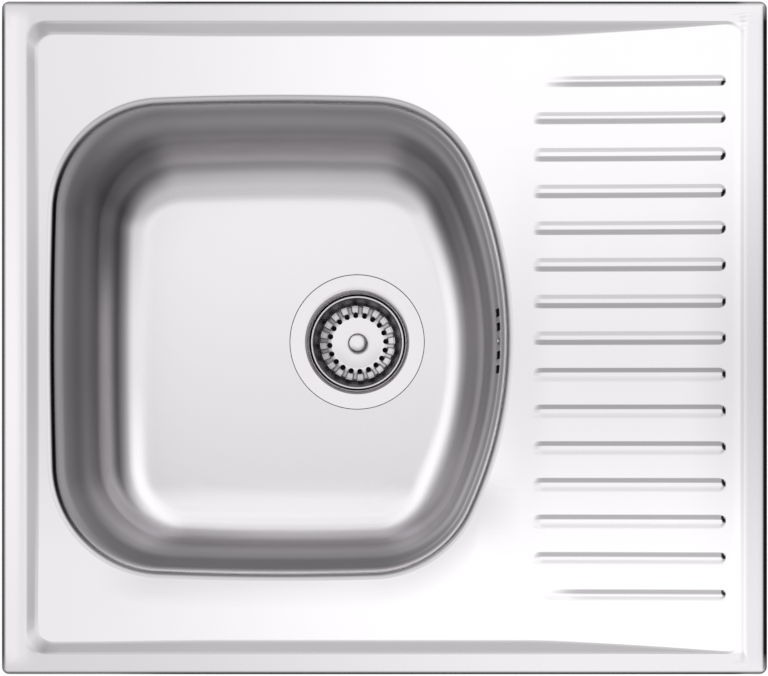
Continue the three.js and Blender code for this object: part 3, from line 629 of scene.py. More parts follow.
class Board:
    """The node tree of a material or a world."""

    def __init__(self, owner):
        owner.use_nodes = True
        self.tree = owner.node_tree
        self.tree.nodes.clear()

    def node(self, kind, settings=None, values=None, out=0):
        """Adds a node, sets it up, then fills or links its sockets, and gives one output."""
        made = self.tree.nodes.new(kind)
        for name, value in (settings or {}).items():
            setattr(made, name, value)
        for name, value in (values or {}).items():
            if isinstance(value, Wire):
                self.tree.links.new(value.socket, made.inputs[name])
            else:
                made.inputs[name].default_value = value
        return Wire(self, made.outputs[out]) if made.outputs else None

    def place(self):
        return self.node("ShaderNodeTexCoord", out="Object")

    def stretched(self, scale, centre=(0, 0, 0)):
        """The piece's own coordinates about a centre, scaled differently along each axis."""
        moved = self.node("ShaderNodeVectorMath", {"operation": "SUBTRACT"}, {0: self.place(), 1: centre})
        return self.node("ShaderNodeVectorMath", {"operation": "MULTIPLY"}, {0: moved, 1: scale})

    def grain(self, scale, detail=2, where=None):
        """Soft noise from 0 to 1, with so many waves to the metre."""
        return self.node("ShaderNodeTexNoise", {}, {"Vector": where or self.place(), "Scale": scale,
                                                    "Detail": detail, "Roughness": 0.55})

    def cells(self, scale):
        return self.node("ShaderNodeTexVoronoi", {}, {"Vector": self.place(), "Scale": scale},
                         out="Distance")

    def step(self, value, start, end, low=0.0, high=1.0):
        """Goes smoothly from low to high while the value goes from start to end."""
        return self.node("ShaderNodeMapRange", {"interpolation_type": "SMOOTHSTEP"},
                         {"Value": value, "From Min": start, "From Max": end,
                          "To Min": low, "To Max": high})

    def blend(self, share, first, second):
        return self.node("ShaderNodeMix", {"data_type": "RGBA"}, {0: share, 6: first, 7: second}, out=2)

    def mottled(self, share, rgba, low, high):
        """A colour that goes from one brightness to another."""
        return self.blend(share, shade(rgba, low), shade(rgba, high))

    def with_painted_light(self, rgba):
        """A colour multiplied by the painted light and shade marks on the mesh, which are numbers from 0 to
        1.
        """
        marks = self.node("ShaderNodeAttribute", {"attribute_name": "light_paint"}, out="Fac")
        return self.blend(marks, (0, 0, 0, 1), rgba)

    def bump(self, height, distance, strength=1.0):
        return self.node("ShaderNodeBump", {},
                         {"Height": height, "Distance": distance, "Strength": strength})

    def surface(self, **values):
        """The Principled shader, with its sockets named by words joined with underscores."""
        sockets = {name.replace("_", " "): value for name, value in values.items()}
        shader = self.node("ShaderNodeBsdfPrincipled", {}, sockets)
        self.node("ShaderNodeOutputMaterial", {}, {"Surface": shader})


def material(name):
    made = bpy.data.materials.new(name)
    return made, Board(made)


def shade(rgba, factor):
    return (*(min(1, c * factor) for c in rgba[:3]), 1)


def sheet_steel():
    """Satin pressed steel: fine brushing along the sink, faint handling marks, duller drawn walls, and
    painted light and shade in its colour.
    """
    look = bpy.context.scene.sink_finish
    made, board = material("satin_sheet_steel")
    brushing = board.grain(1.0, 3, board.stretched((6, 1300, 1300)))
    clouds = board.grain(11, 3)
    height = board.node("ShaderNodeSeparateXYZ", {}, {0: board.place()}, out="Z")
    drawn = board.step(height, -0.006, -0.025) * board.step(height, -0.155, -0.148)
    board.surface(
        Base_Color=board.with_painted_light(board.mottled(clouds, look.steel, 0.985 / FULL, 1.015 / FULL)),
        Metallic=1.0,
        Roughness=brushing * 0.03 + clouds * 0.04 + drawn * 0.14 + (look.steel_roughness - 0.035),
        Normal=board.bump(brushing, 0.000004, 0.04),
    )
    return made


def turned_steel(name, worn=0.0, with_painted_light=False):
    """Polished steel with the fine circles of the lathe round the drain's axis, and painted light and shade
    in its colour if asked.
    """
    look = bpy.context.scene.sink_finish
    made, board = material(name)
    flat = board.stretched((1, 1, 0), tuple(MIDDLE + Vector((DRAIN_X, DRAIN_Y, 0)) * MM))
    radius = board.node("ShaderNodeVectorMath", {"operation": "LENGTH"}, {0: flat}, out="Value")
    circles = board.node("ShaderNodeTexNoise", {"noise_dimensions": "1D"},
                         {"W": radius, "Scale": 2600.0, "Detail": 2.0})
    clouds = board.grain(60, 3)
    colour = board.mottled(clouds, look.bright, 0.97, 1.03)
    board.surface(
        Base_Color=board.with_painted_light(colour) if with_painted_light else colour,
        Metallic=1.0,
        Roughness=circles * 0.05 + clouds * 0.08 + (look.bright_roughness + worn - 0.05),
        Normal=board.bump(circles, 0.000006, 0.6),
    )
    return made


def zinc_plate():
    """Plated steel with the soft patches of a zinc bath and rub marks."""
    look = bpy.context.scene.sink_finish
    made, board = material("zinc_plate")
    patches = board.cells(260)
    clouds = board.grain(90, 4)
    scratches = board.grain(1.0, 2, board.stretched((120, 2400, 160)))
    tone = board.mottled(clouds, look.zinc, 0.82, 1.12)
    board.surface(
        Base_Color=board.blend(board.step(patches, 0.1, 0.8) * 0.5, tone, shade(look.zinc, 1.25)),
        Metallic=1.0,
        Roughness=clouds * 0.18 + scratches * 0.1 + 0.24,
        Normal=board.bump(clouds + scratches * 0.6, 0.00003, 0.5),
    )
    return made


def soft_finish(name, base, pore, depth, roughness):
    """A matt foam or rubber with pores of a size and a slight bloom."""
    made, board = material(name)
    pores = board.cells(1 / pore)
    clouds = board.grain(55, 3)
    board.surface(
        Base_Color=board.mottled(clouds, base, 0.75, 1.25),
        Roughness=clouds * 0.1 + (roughness - 0.05),
        Normal=board.bump(board.step(pores, 0.05, 0.6), depth, 0.8),
    )
    return made


def embossed_pad():
    """Bitumen sheet, rolled with small lozenges, with a dusty surface."""
    look = bpy.context.scene.sink_finish
    made, board = material("embossed_sound_pad")
    slanted = board.node("ShaderNodeMapping", {},
                         {"Vector": board.place(), "Rotation": (0, 0, math.pi / 4)})
    waves = []
    for direction in ("X", "Y"):
        waves.append(board.node("ShaderNodeTexWave", {"bands_direction": direction},
                                {"Vector": slanted, "Scale": 38.0, "Distortion": 0.0}, out="Fac"))
    lozenge = board.step(waves[0] * waves[1], 0.05, 0.5)
    dust = board.grain(300, 4)
    clouds = board.grain(25, 3)
    tone = board.mottled(clouds, look.pad, 0.75, 1.35)
    board.surface(
        Base_Color=board.blend(lozenge * 0.25, tone, shade(look.pad, 1.9)),
        Roughness=dust * 0.15 + 0.72,
        Normal=board.bump(lozenge + dust * 0.25, 0.0005, 0.7),
    )
    return made


def moulded_plastic(name, base, roughness):
    """Moulded plastic with a fine spark texture and a slight unevenness of tone."""
    made, board = material(name)
    spark = board.grain(2600, 2)
    clouds = board.grain(18, 2)
    board.surface(
        Base_Color=board.mottled(clouds, base, 0.95, 1.03),
        Roughness=clouds * 0.08 + (roughness - 0.04),
        Normal=board.bump(spark, 0.00001, 0.5),
    )
    return made


FINISHES = {}


def finish_named(name):
    """A finish's material and slot, made once, when the first piece asks for it."""
    if name not in FINISHES:
        look = bpy.context.scene.sink_finish
        slot, maker, *values = {
            "sheet": ("brushed_steel", sheet_steel),
            "bright": ("polished_steel", turned_steel, "bright_waste_steel"),
            "basket": ("polished_steel", turned_steel, "basket_steel", 0.05, True),
            "zinc": ("zinc_steel", zinc_plate),
            "foam": ("foam_seal", soft_finish, "closed_cell_foam", look.foam, 0.0009, 0.0002, 0.92),
            "rubber": ("rubber", soft_finish, "black_rubber", look.rubber, 0.0006, 0.00002, 0.62),
            "pad": ("sound_pad", embossed_pad),
            "plastic": ("white_plastic", moulded_plastic, "white_plastic", look.plastic, 0.42),
            "hose": ("hose_plastic", moulded_plastic, "hose_plastic", look.hose, 0.48),
        }[name]
        FINISHES[name] = maker(*values), slot
    return FINISHES[name]


# ---- The pressed sheet ----

LIP_SECTION = [
    (0, 0.4), (0.1, 1.1), (0.25, 1.8), (0.45, 2.45), (0.72, 3.05), (1.08, 3.6), (1.5, 4.02),
    (2.0, 4.33), (2.55, 4.52), (3.1, 4.6), (3.7, 4.6),
]


def rim_skin(settings):
    """The lip, the flat rim and its slope, as rings from the outer edge to the deck."""
    rings = [raised(rim_outline(inset, inset, max(RIM_CORNER - inset, 2)), z) for inset, z in LIP_SECTION]
    half = settings.crease / MM
    head = rim_outline(RIM_LEFT, RIM_OTHER, SLOPE_CORNER)
    reach = rim_outline(RIM_LEFT + SLOPE_RUN, RIM_OTHER + SLOPE_RUN, SLOPE_FOOT_CORNER)

    def slope_ring(share, beyond):
        made = []
        for (hx, hy), (rx, ry) in zip(head, reach):
            fall = max(SLOPE_LEAST, (RIM_TOP - deck_height(hx)) / (RIM_TOP - DECK))
            steep = 1.3 - 0.22 * smooth((max(DEPTH / 2 - abs(hy), hx + WIDTH / 2) - 25) / 140)
            pitch = (RIM_TOP - DECK) / SLOPE_RUN * steep
            run = fall * SLOPE_RUN / steep
            margin = 1.2 + 3.4 * smooth((hx - 60) / 120)
            along = -half + (run + 2 * half) * share + margin * beyond
            x, y = hx + (rx - hx) * along / SLOPE_RUN, hy + (ry - hy) * along / SLOPE_RUN
            z = RIM_TOP - pitch * (eased(along, half) - eased(along - run, half))
            made.append((x, y, z + (deck_height(x) - z) * smooth(beyond * 1.25)))
        return made

    flat, start = rings[-1], slope_ring(0, 0)
    for share in (0.07, 0.15, 0.28, 0.42, 0.56, 0.7, 0.84, 0.95):
        rings.append([tuple(Vector(lip).lerp(Vector(slope), share)) for lip, slope in zip(flat, start)])
    rings += [slope_ring(share, 0) for share in spread(0, 1, 16)]
    rings += [slope_ring(1, beyond) for beyond in (0.2, 0.4, 0.6, 0.8, 1)]
    return lofted("rim_skin", [in_frame(ring) for ring in rings])


def bowl_skin(settings):
    """The bowl, as rings from the deck down to the hole under the waste's flange."""
    roll = settings.roll / MM
    outline = bowl_outline(0)
    outward = [(x - u, y - v) for (x, y), (u, v) in zip(outline, bowl_outline(1))]
    fall = DECK - BOWL_DEPTH - FLANGE_TOP
    circle = round_drain(outline, SEAT_RADIUS)
    sinks = []
    for (x, y), (nx, ny), (u, v) in zip(outline, outward, circle):
        inset = wall_section(roll, fillet_towards(ny))[2]
        span = math.hypot(x - nx * inset - u, y - ny * inset - v)
        sinks.append(fall * 0.6 * (1 - smooth(span / 70)))

    def ring(place):
        made = []
        for (x, y), (nx, ny), sink in zip(outline, outward, sinks):
            inset, depth = bowl_section(place, roll, fillet_towards(ny))
            made.append((x - nx * inset, y - ny * inset, DECK - depth - sink * smooth(place - 1)))
        return made

    def deck_ring(share):
        made = []
        for (x, y), (nx, ny) in zip(outline, outward):
            out = EDGE_LEAD + 0.35 + share * (0.6 + 19 * smooth((-ny - 0.3) / 0.5))
            made.append((x + nx * out, y + ny * out, DECK))
        return made

    rings = [deck_ring(share) for share in (1, 0.5, 0)]
    rings += [ring(place) for place in spread(-1, 0, 14) + spread(0, 1, 14)[1:] + spread(1, 2, 20)[1:]]
    edge = rings[-1]
    for share in (0.04, 0.12, 0.22, 0.34, 0.46, 0.58, 0.7, 0.8, 0.9, 1):
        rings.append([(x + (u - x) * share, y + (v - y) * share, z + (FLANGE_TOP - z) * share)
                      for (x, y, z), (u, v) in zip(edge, circle)])
    seat = rounded([(SEAT_RADIUS, 0), (57.95, 0), (57.75, -SEAT_DROP), (56, -SEAT_DROP)], 0.25)[1:]
    for radius, height in [*seat, (HOLE_RADIUS, -SEAT_DROP)]:
        rings.append(raised(round_drain(outline, radius), FLANGE_TOP + height))
    return lofted("bowl_skin", [in_frame(ring) for ring in rings])


def rib_height(x, y, index, settings):
    """How far a rib stands out of the board at a place; the outer ribs are slimmer."""
    outermost = min(index, RIB_COUNT - 1 - index)
    half = settings.rib_width / 2 / MM - {0: 1.0, 1: 0.6}.get(outermost, 0)
    flank = settings.rib_flank / MM
    across = abs(y)
    past = x - (RIB_RIGHT - half)
    if past > 0:
        across = math.hypot(past, across)
        flank -= (flank - 2.6) * (past / max(across, 1e-6)) ** 2
    bead = (eased(half - across, RIB_CREASE) - eased(half - flank - across, RIB_CREASE)) * (1 / flank)
    run_out = 40 if outermost == 0 else 9
    return settings.rib_height / MM * max(0.0, bead) * smooth((x - RIB_LEFT + 1) / run_out)


def board_lines(settings):
    """The places of the grid's lines, close together where the ribs bend."""
    columns = [BOARD_LEFT, 108] + spread(111, 125, 10) + spread(131, 251, 18) + spread(252.2, 259.4, 12)
    columns += [BOARD_RIGHT]
    half, flank = settings.rib_width / 2 / MM, settings.rib_flank / MM
    steps = [half + 1, half + RIB_CREASE, half + 0.2, half, half - 0.2, half - 0.5, half - 1.0, half - 1.6,
             half - flank + RIB_CREASE, half - flank + 0.15, half - flank - 0.15, half - flank - RIB_CREASE]
    rows = [(-BOARD_HALF, 0, -BOARD_HALF)]
    for i in range(RIB_COUNT):
        middle = (i - (RIB_COUNT - 1) / 2) * RIB_PITCH
        rows.append((middle - RIB_PITCH / 2 + 3, i, 3 - RIB_PITCH / 2))
        rows += [(middle - step, i, -step) for step in steps] + [(middle, i, 0)]
        rows += [(middle + step, i, step) for step in reversed(steps)]
        rows.append((middle + RIB_PITCH / 2 - 3, i, RIB_PITCH / 2 - 3))
    rows.append((BOARD_HALF, RIB_COUNT - 1, BOARD_HALF))
    return columns, rows


def board_skin(settings):
    """The ribbed board: a grid whose lines are moved to where the ribs bend."""
    columns, rows = board_lines(settings)
    piece = new_piece("board_skin", bpy.ops.mesh.primitive_grid_add, x_subdivisions=len(columns) - 1,
                      y_subdivisions=len(rows) - 1, size=2)
    with edit_mode(piece) as mesh:
        for vertex in mesh.verts:
            column = round((vertex.co.x + 1) / 2 * (len(columns) - 1))
            row = round((vertex.co.y + 1) / 2 * (len(rows) - 1))
            x, (y, index, off) = columns[column], rows[row]
            z = deck_height(x) + rib_height(x, off, index, settings)
            vertex.co = MIDDLE + Vector((x, y, z)) * MM
    return piece


# The painted light mark that leaves the steel's colour as it is; the shader divides by it, so a higher mark
# paints light.
FULL = 0.85
# Tones that copy the light and dark bands which the steel shows in the photograph. They are no property
# of steel. LIP_TONES goes by the distance from the edge, and WALL_TONES by the place on the wall's section.
# WALL_TONES was typed in from a comparison with the photograph's brightness on one line down each side.
# LIP_TONES paints a dark reflection inside the lip, and WALL_TONES paints reflections and shade on the bowl's
# walls.
LIP_TONES = {
    "left": [(0, 0.35), (0.9, 0.3), (1.3, 0.12), (2.3, 0.07), (3.1, 0.32), (3.85, 0.72), (4.6, 1)],
    "right": [(0, 0.1), (1, 0.04), (2.6, 0.01), (3.4, 0.02), (3.75, 0.08), (4.5, 0.75), (5.2, 1)],
    "back": [(0, 0.05), (1, 0.03), (1.9, 0.03), (2.7, 0.22), (3.4, 0.7), (4.2, 0.92), (5, 1)],
    "front": [(0, 0.03), (1, 0.02), (1.4, 0.08), (2, 0.42), (2.8, 0.88), (3.7, 1)],
}
WALL_TONES = {
    "left": [(-1, 0.79), (-0.85, 0.72), (-0.7, 0.82), (-0.6, 0.76), (-0.5, 0.13), (-0.4, 0.01),
             (-0.25, 0.01), (0, 0.24), (0.1, 0.54), (0.25, 0.19), (0.5, 0.12), (0.8, 0.33), (1, 0.38),
             (1.3, 0.98), (1.5, 0.2), (1.6, 0.38), (1.75, 0.82), (2, 0.85)],
    "right": [(-1, 0.76), (-0.6, 0.73), (-0.4, 1.17), (0, 1.17), (0.1, 0.13), (0.2, 0.86), (0.3, 0.27),
              (0.5, 0.66), (0.65, 0.32), (0.9, 0.56), (1.15, 1.16), (1.35, 0.83), (1.5, 0.7),
              (1.6, 0.94), (1.7, 1.17), (1.85, 1), (2, 0.81)],
    "back": [(-1, 0.2), (-0.9, 0.34), (-0.8, 0.8), (-0.6, 1), (-0.5, 1.17), (-0.4, 1.17), (-0.25, 0.7),
             (0, 0.4), (0.15, 0.36), (0.45, 0.54), (0.7, 0.5), (0.9, 0.74), (1.1, 0.88), (1.35, 1.12),
             (1.5, 1.17), (1.6, 1.17), (1.7, 0.96), (1.85, 0.86), (2, 0.9)],
    "front": [(-1, 0.67), (-0.65, 0.63), (-0.5, 0.2), (-0.42, 0.55), (-0.3, 1.17), (-0.1, 1.17),
              (0, 0.75), (0.1, 0.07), (0.4, 0.07), (0.6, 0.32), (0.8, 0.48), (1, 0.6), (1.2, 0.67),
              (1.45, 1.17), (1.6, 1.17), (1.7, 0.9), (1.85, 0.84), (2, 0.9)],
}


def between(stops, place):
    """The value at a place, eased from each (place, value) stop to the next."""
    for (start, low), (end, high) in zip(stops, stops[1:]):
        if place <= end:
            return low + (high - low) * smooth((place - start) / (end - start))
    return stops[-1][1]


def bowl_place(depth, roll, fillet):
    """Where a depth lies on the bowl's section, from -1 to 2."""
    top, foot, _ = wall_section(roll, fillet)
    if depth < top[1]:
        return math.acos(1 - max(depth, 0) / roll) / WALL_LEAN - 1
    if depth < foot[1]:
        return (depth - top[1]) / (foot[1] - top[1])
    return 2 - math.acos(1 - min(max(BOWL_DEPTH - depth, 0) / fillet, 1)) / WALL_LEAN


# Painted shade: a share from 0 to 1 by which the sheet is darkened half way from front to back.
def middle_dip(y):
    """The photograph shows the sheet a little darker half way from front to back."""
    return smooth(1 - abs(y + 15) / 215)


def front_shade(x, y):
    """The deck shows darker in a band along the bowl's front edge and round its near right corner."""
    corner_x, corner_y = -10.8, -96.5
    if y > corner_y:
        return 0.0
    beyond = math.hypot(max(x - corner_x, 0), y - corner_y) - BOWL_CORNER
    deep = 0.13 + 0.07 * smooth((x + 40) / 80)
    return deep * (1 - smooth((beyond - 7) / 17)) * smooth((x + 225) / 60) * smooth((corner_y - y) / 30)


# Painted light and shade on the deck: lighter to the right and at the front, darker half way back and along
# the bowl's front.
def deck_tone(x, y):
    tone = (0.79 + 0.21 * smooth((x + 290) / 380)) * (1 + 0.08 * smooth((-y - 60) / 120))
    dip = 0.06 + 0.06 * smooth((x + 250) / 60) + 0.08 * smooth((x - 80) / 20)
    dip += 0.08 * smooth((x - 225) / 35) - 0.04 * smooth((x - 110) / 20)
    return tone * (1 - dip * middle_dip(y)) - front_shade(x, y)


def rib_tone(x, y, normal):
    """Painted shade on the ribs' flanks, which differs on both sides of the middle, and a painted black glint
    at their right ends.
    """
    lean = normal.xy.length
    if not RIB_LEFT - 4 < x < RIB_RIGHT + 2 or lean < 0.08:
        return 1.0
    towards = normal.xy / lean
    if y > RIB_SWITCH:
        flank = 0.84 - 0.07 * smooth(0.5 - towards.y)
    else:
        flank = 1.14 - 0.64 * smooth(0.5 + towards.y)
    tone = 1 + (flank - 1) * smooth((lean - 0.08) / 0.3)
    glint = Vector((1, (RIB_SWITCH - y) / 200)).normalized().dot(towards)
    black = smooth((glint - 0.62) / 0.18) * smooth((lean - 0.13) / 0.1) if x > RIB_RIGHT - 6 else 0
    return tone * (1 - 0.97 * black)


def near(value, middle, half):
    """A soft bump of 1 at the middle that ends at half its width to each side."""
    return smooth(1 - abs(value - middle) / half)


def rim_tone(x, y, z, normal):
    """Painted light and shade on the flat rim, the lip round it, and the slope that turns into the deck."""
    left, right, across = x + WIDTH / 2, WIDTH / 2 - x, DEPTH / 2 - abs(y)
    inset = min(left, right, across)
    dip = middle_dip(y)
    ends = smooth((across - 4) / 12)
    level = 0.70 + 0.20 * smooth((x + 290) / 450)
    on_left = 0.86 + 0.05 * dip - 0.06 * smooth((left - 11) / 5) - 0.12 * dip * near(left, 16.3, 2.5)
    on_right = 0.86 - 0.22 * dip - 0.16 * smooth(1 - right / 9)
    level += (on_left - level) * ends * smooth((24 - left) / 6)
    level += (on_right - level) * ends * smooth((24 - right) / 6)
    shallow = smooth((x - 120) / 60)
    past = smooth((RIM_TOP - z) / 0.6) * (1 - shallow) + smooth((inset - RIM_OTHER) / 1.5) * shallow
    level += (deck_tone(x, y) - level) * past
    # Painted highlight and dark lines along the right rim.
    lines = 0.08 * near(right, 16.9, 1.8) - 0.15 * near(right, 19.5, 2.4) + 0.06 * near(right, 22.4, 1.8)
    level += lines * ends
    lean = normal.xy.length
    towards = normal.xy / max(lean, 1e-6)
    to_right, to_left = max(towards.x, 0) ** 2, max(-towards.x, 0) ** 2
    to_back, to_front = max(towards.y, 0) ** 2, max(-towards.y, 0) ** 2
    # Painted shade on the slope, by the side it faces, with darker creases.
    if inset > 10 and lean > 0.02:
        notch = 0.22 * near(left, 30, 10)
        slope = to_right * (0.66 - 0.17 * dip + 0.16 * smooth((48 - across) / 24))
        slope += to_left * (0.86 - 0.22 * dip)
        slope += to_back * (0.59 - notch) + to_front * (0.88 - notch)
        share = smooth((lean - 0.1) / 0.2)
        share += (smooth((left - 18.9) / 2) * (1 - smooth((left - 27) / 1.6)) - share) * to_right
        level = (level + (slope - level) * share) * (1 - 0.72 * (to_back + to_front) * share * (1 - share))
    if inset > 10:
        return level
    if lean < 0.05:
        nearest = [inset == left, inset == right, inset == across and y > 0, inset == across and y < 0]
        to_left, to_right, to_back, to_front = (part / max(sum(nearest), 1) for part in nearest)
    weights = zip(("left", "right", "back", "front"), (to_left, to_right, to_back, to_front))
    # The lip's painted dark reflection, by the side it faces.
    lip = sum(between(LIP_TONES[side], inset) * part for side, part in weights)
    lit = smooth((12 - across) / 8) * smooth((22 - min(left, right)) / 8)
    if inset == across:
        lit = max(lit, max(smooth((-x - 150) / 70), smooth((x - 262) / 18)) * (1 - smooth((inset - 2) / 2)))
    return level * min(lip + (1 - lip) * 0.35 * lit, 1)


# Painted light and shade on the pressed sheet: painted reflections and shade on the rim, deck, ribs and bowl,
# as a tone for each vertex.
def light_paint_at(x, y, z, normal, roll):
    """The tone that copies how bright the photograph shows the upper side at a place, about 1 on the deck."""
    if normal.z < -0.3:
        return 1.0
    # Painted shade where the mirrored view points to the front.
    mirrored = 2 * normal.z * normal.y
    facing_front = 1 - 0.26 * smooth((-0.05 - mirrored) / 0.35) * smooth((normal.z - 0.6) / 0.1)
    if z > DECK - 0.05:
        if min(WIDTH / 2 - abs(x), DEPTH / 2 - abs(y)) < 31:
            return rim_tone(x, y, z, normal) * facing_front
        return deck_tone(x, y) * rib_tone(x, y, normal) * (facing_front if y > RIB_SWITCH else 1)
    # Painted light on the bowl's floor: lighter towards the back and along its front edge.
    floor = 0.80 + 0.00065 * y + 0.2 * smooth((-y - 115) / 20)
    facing = (normal.xy + Vector((BOWL_MIDDLE - x, -y)) / 4000).normalized()
    place = bowl_place(DECK - z, roll, fillet_towards(-facing.y))
    sides = {"left": max(facing.x, 0), "right": max(-facing.x, 0),
             "front": max(facing.y, 0), "back": max(-facing.y, 0)}
    # Painted reflections and shade down the walls, by the place on the section.
    wall = sum(between(WALL_TONES[side], place) * share ** 2 for side, share in sides.items())
    # Painted shade in the back corners of the walls and painted light in the front corners.
    corner = smooth(6 * facing.x ** 2 * facing.y ** 2)
    darker, start = (0.38, 0.5) if y > 0 else (-0.5, 0.05)
    wall *= 1 - darker * corner * smooth((place - start) / 0.3) * (1 - smooth((place - 1.5) / 0.3))
    # Painted light on the left wall towards the front and painted shade towards the back, with a painted dark
    # streak low down.
    lighter = 0.26 * smooth((-y - 10) / 110) - 0.16 * smooth((y - 10) / 110)
    wall *= 1 + sides["left"] * lighter * smooth(place / 0.2)
    streak = near(place, 1.28, 0.3) * smooth((abs(y) - 20) / 70)
    wall *= 1 - (0.45 if y > 0 else 0.15) * sides["left"] * streak
    return (wall + (floor - wall) * smooth((place - 1.8) / 0.15)) * facing_front


def light_painted(piece, tone):
    """Marks each vertex of a piece with its tone of painted light and shade, which the finish multiplies its
    colour by.
    """
    marks = piece.data.attributes.new("light_paint", "FLOAT", "POINT")
    for vertex, mark in zip(piece.data.vertices, marks.data):
        mark.value = max(0.0, min(1.0, tone(vertex)))
    return piece


def polar(vertex):
    """Distance from the upright axis in millimetres, and angle about it."""
    return math.hypot(vertex.co.x, vertex.co.y) / MM, math.atan2(vertex.co.y, vertex.co.x)


def slot_cutter(y, settings):
    """A bar with round corners through the right wall."""
    half = settings.slot_width / 2 / MM
    tall = settings.slot_height / 2 / MM
    section = [(-half, -tall), (half, -tall), (half, tall), (-half, tall)]
    bar = drawn("slot_cutter", section, 30, 2, 6)
    return placed(bar, at(88, y, OVERFLOW_Z, turned(90)))


class SINK_OT_pressed_sheet(bpy.types.Operator):
    """Models the rim, deck, bowl and ribbed drainboard as one pressed sheet"""
    bl_idname = "sink.pressed_sheet"
    bl_label = "Pressed sheet"

    def execute(self, context):
        settings = context.scene.sink_sheet
        skins = [rim_skin(settings), bowl_skin(settings), board_skin(settings)]
        sheet = together("pressed_sheet", skins)
        with edit_mode(sheet) as mesh:
            bpy.ops.mesh.select_all(action="DESELECT")
            lowest = (FLANGE_TOP - 2) * MM
            lip = 1.0 * MM
            for edge in mesh.edges:
                height = edge.verts[0].co.z
                off = edge.verts[0].co - MIDDLE
                outer = max(abs(off.x) / (WIDTH / 2 * MM), abs(off.y) / (DEPTH / 2 * MM))
                if edge.is_boundary and height > lowest and not (height < lip and outer > 0.999):
                    edge.select_set(True)
            bpy.ops.mesh.fill(use_beauty=True)
            bpy.ops.mesh.select_all(action="SELECT")
            bpy.ops.mesh.normals_make_consistent(inside=False)
            widest = max(mesh.faces, key=lambda face: face.calc_area())
            if widest.normal.z < 0:
                bpy.ops.mesh.flip_normals()
        apply(sheet, "SOLIDIFY", thickness=settings.gauge, offset=-1, use_even_offset=True)
        holes = [slot_cutter(k * SLOT_PITCH, settings) for k in (-2, -1, 1, 2)]
        holes.append(placed(rod("screw_cutter", 2.1, -10, 10), at(90, 0, OVERFLOW_Z, ALONG_X)))
        cut_away(sheet, *holes)
        roll = settings.roll / MM
        # Paints light and shade into the sheet's colour, as a mark on each vertex.
        light_painted(sheet, lambda vertex: FULL * light_paint_at(*(vertex.co - MIDDLE) / MM, vertex.normal, roll))
        finished(sheet, "sheet", "root", "sink_pressing", angle=40)
        return {"FINISHED"}


# ---- Under the rim ----

class SINK_OT_rim_seal(bpy.types.Operator):
    """Models the foam strip between the rim and the worktop"""
    bl_idname = "sink.rim_seal"
    bl_label = "Rim seal"

    def execute(self, context):
        section = rounded([(2.9, 0), (8.9, 0), (9.0, 1.9), (8.7, 3.5), (3.1, 3.5), (2.8, 1.9)], 0.7, True)
        rings = []
        for inset, z in section:
            rings.append(raised(rim_outline(inset, inset, max(RIM_CORNER + 1 - inset, 1)), z))
        seal = lofted("foam_rim_seal", [in_frame(ring) for ring in rings], "joined")
        finished(seal, "foam", "root", "rim_seal")
        return {"FINISHED"}


def flat_pad(name, outer, inner, low, thickness, round_edge):
    """A pad between two matched outlines with softened edges."""
    high = low + thickness
    edge = [(0, low), (0, high - round_edge), (round_edge * 0.3, high - round_edge * 0.3),
            (round_edge, high)]
    middle = [sum(point[axis] for point in outer) / len(outer) for axis in (0, 1)]

    def moved_in(outline, distance):
        made = []
        for x, y in outline:
            away = math.hypot(x - middle[0], y - middle[1])
            made.append((x + (middle[0] - x) * distance / away, y + (middle[1] - y) * distance / away))
        return made

    rings = [raised(moved_in(outer, off), z) for off, z in edge]
    if inner:
        rings += [raised(moved_in(inner, -off), z) for off, z in reversed(edge)]
    return lofted(name, rings, "joined" if inner else "capped")


class SINK_OT_sound_pads(bpy.types.Operator):
    """Models the pads under the bowl and under the drainboard"""
    bl_idname = "sink.sound_pads"
    bl_label = "Sound pads"

    def execute(self, context):
        settings = context.scene.sink_sheet
        floor_inset = wall_section(settings.roll / MM)[2]
        outline = bowl_outline(floor_inset + 8, (10, 14, 12, 14, 6))
        low = FLANGE_TOP - GAUGE - GAP - 2.2
        pad = flat_pad("bowl_pad", outline, round_drain(outline, 66.5), low, 2.2, 0.6)
        placed(pad, at(0, 0, 0))
        finished(pad, "pad", "root", "bowl_sound_pad")
        plan = round_box(-62, 62, -145, 145, 8, 6)
        board = flat_pad("drainboard_pad", plan, None, -GAUGE - GAP - 2, 2, 0.5)
        tilt = Matrix.Rotation(-math.atan(RAMP_RISE), 4, "Y")
        placed(board, at(PAD_X, 0, DECK + (PAD_X - RAMP_START) * RAMP_RISE - 0.7, tilt))
        finished(board, "pad", "root", "drainboard_sound_pad")
        return {"FINISHED"}


class SINK_OT_earthing_tag(bpy.types.Operator):
    """Models the lug for the bonding lead"""
    bl_idname = "sink.earthing_tag"
    bl_label = "Earthing tag"

    def execute(self, context):
        section = [(-8, -1.5), (-8, -2.5), (7, -2.5), (7, -22), (8, -22), (8, -1.5)]
        tag = drawn("bonding_lug", section, 16, 0.8)
        hole = placed(rod("lug_hole", 2.4, -20, 20), shift(z=-14) @ ALONG_X)
        cut_away(tag, hole)
        cut_away(tag, *(block("lug_corner", 6, 9, y - 3, y + 3, -26.4, -20.4) for y in (-10.6, 10.6)))
        bevelled(tag, 0.15)
        placed(tag, at(0, 206, 0))
        finished(tag, "zinc", "root", "earthing_tag")
        return {"FINISHED"}


# ---- Clamps: made once in the frame of an edge, then copied round the rim ----

def clamp_rail(reach):
    lip, back = RAIL_INSET - 3.9, RAIL_INSET + 1
    hook, top = RAIL_INSET + 4.4, RAIL_FOOT + 4.5
    section = [
        (lip, RAIL_TOP), (lip, RAIL_TOP - 1), (RAIL_INSET, RAIL_TOP - 1), (RAIL_INSET, RAIL_FOOT),
        (hook, RAIL_FOOT), (hook, top), (hook - 1, top), (hook - 1, RAIL_FOOT + 1),
        (back, RAIL_FOOT + 1), (back, RAIL_TOP),
    ]
    return bevelled(drawn("rail", section, reach, 0.6, 3), 0.12)


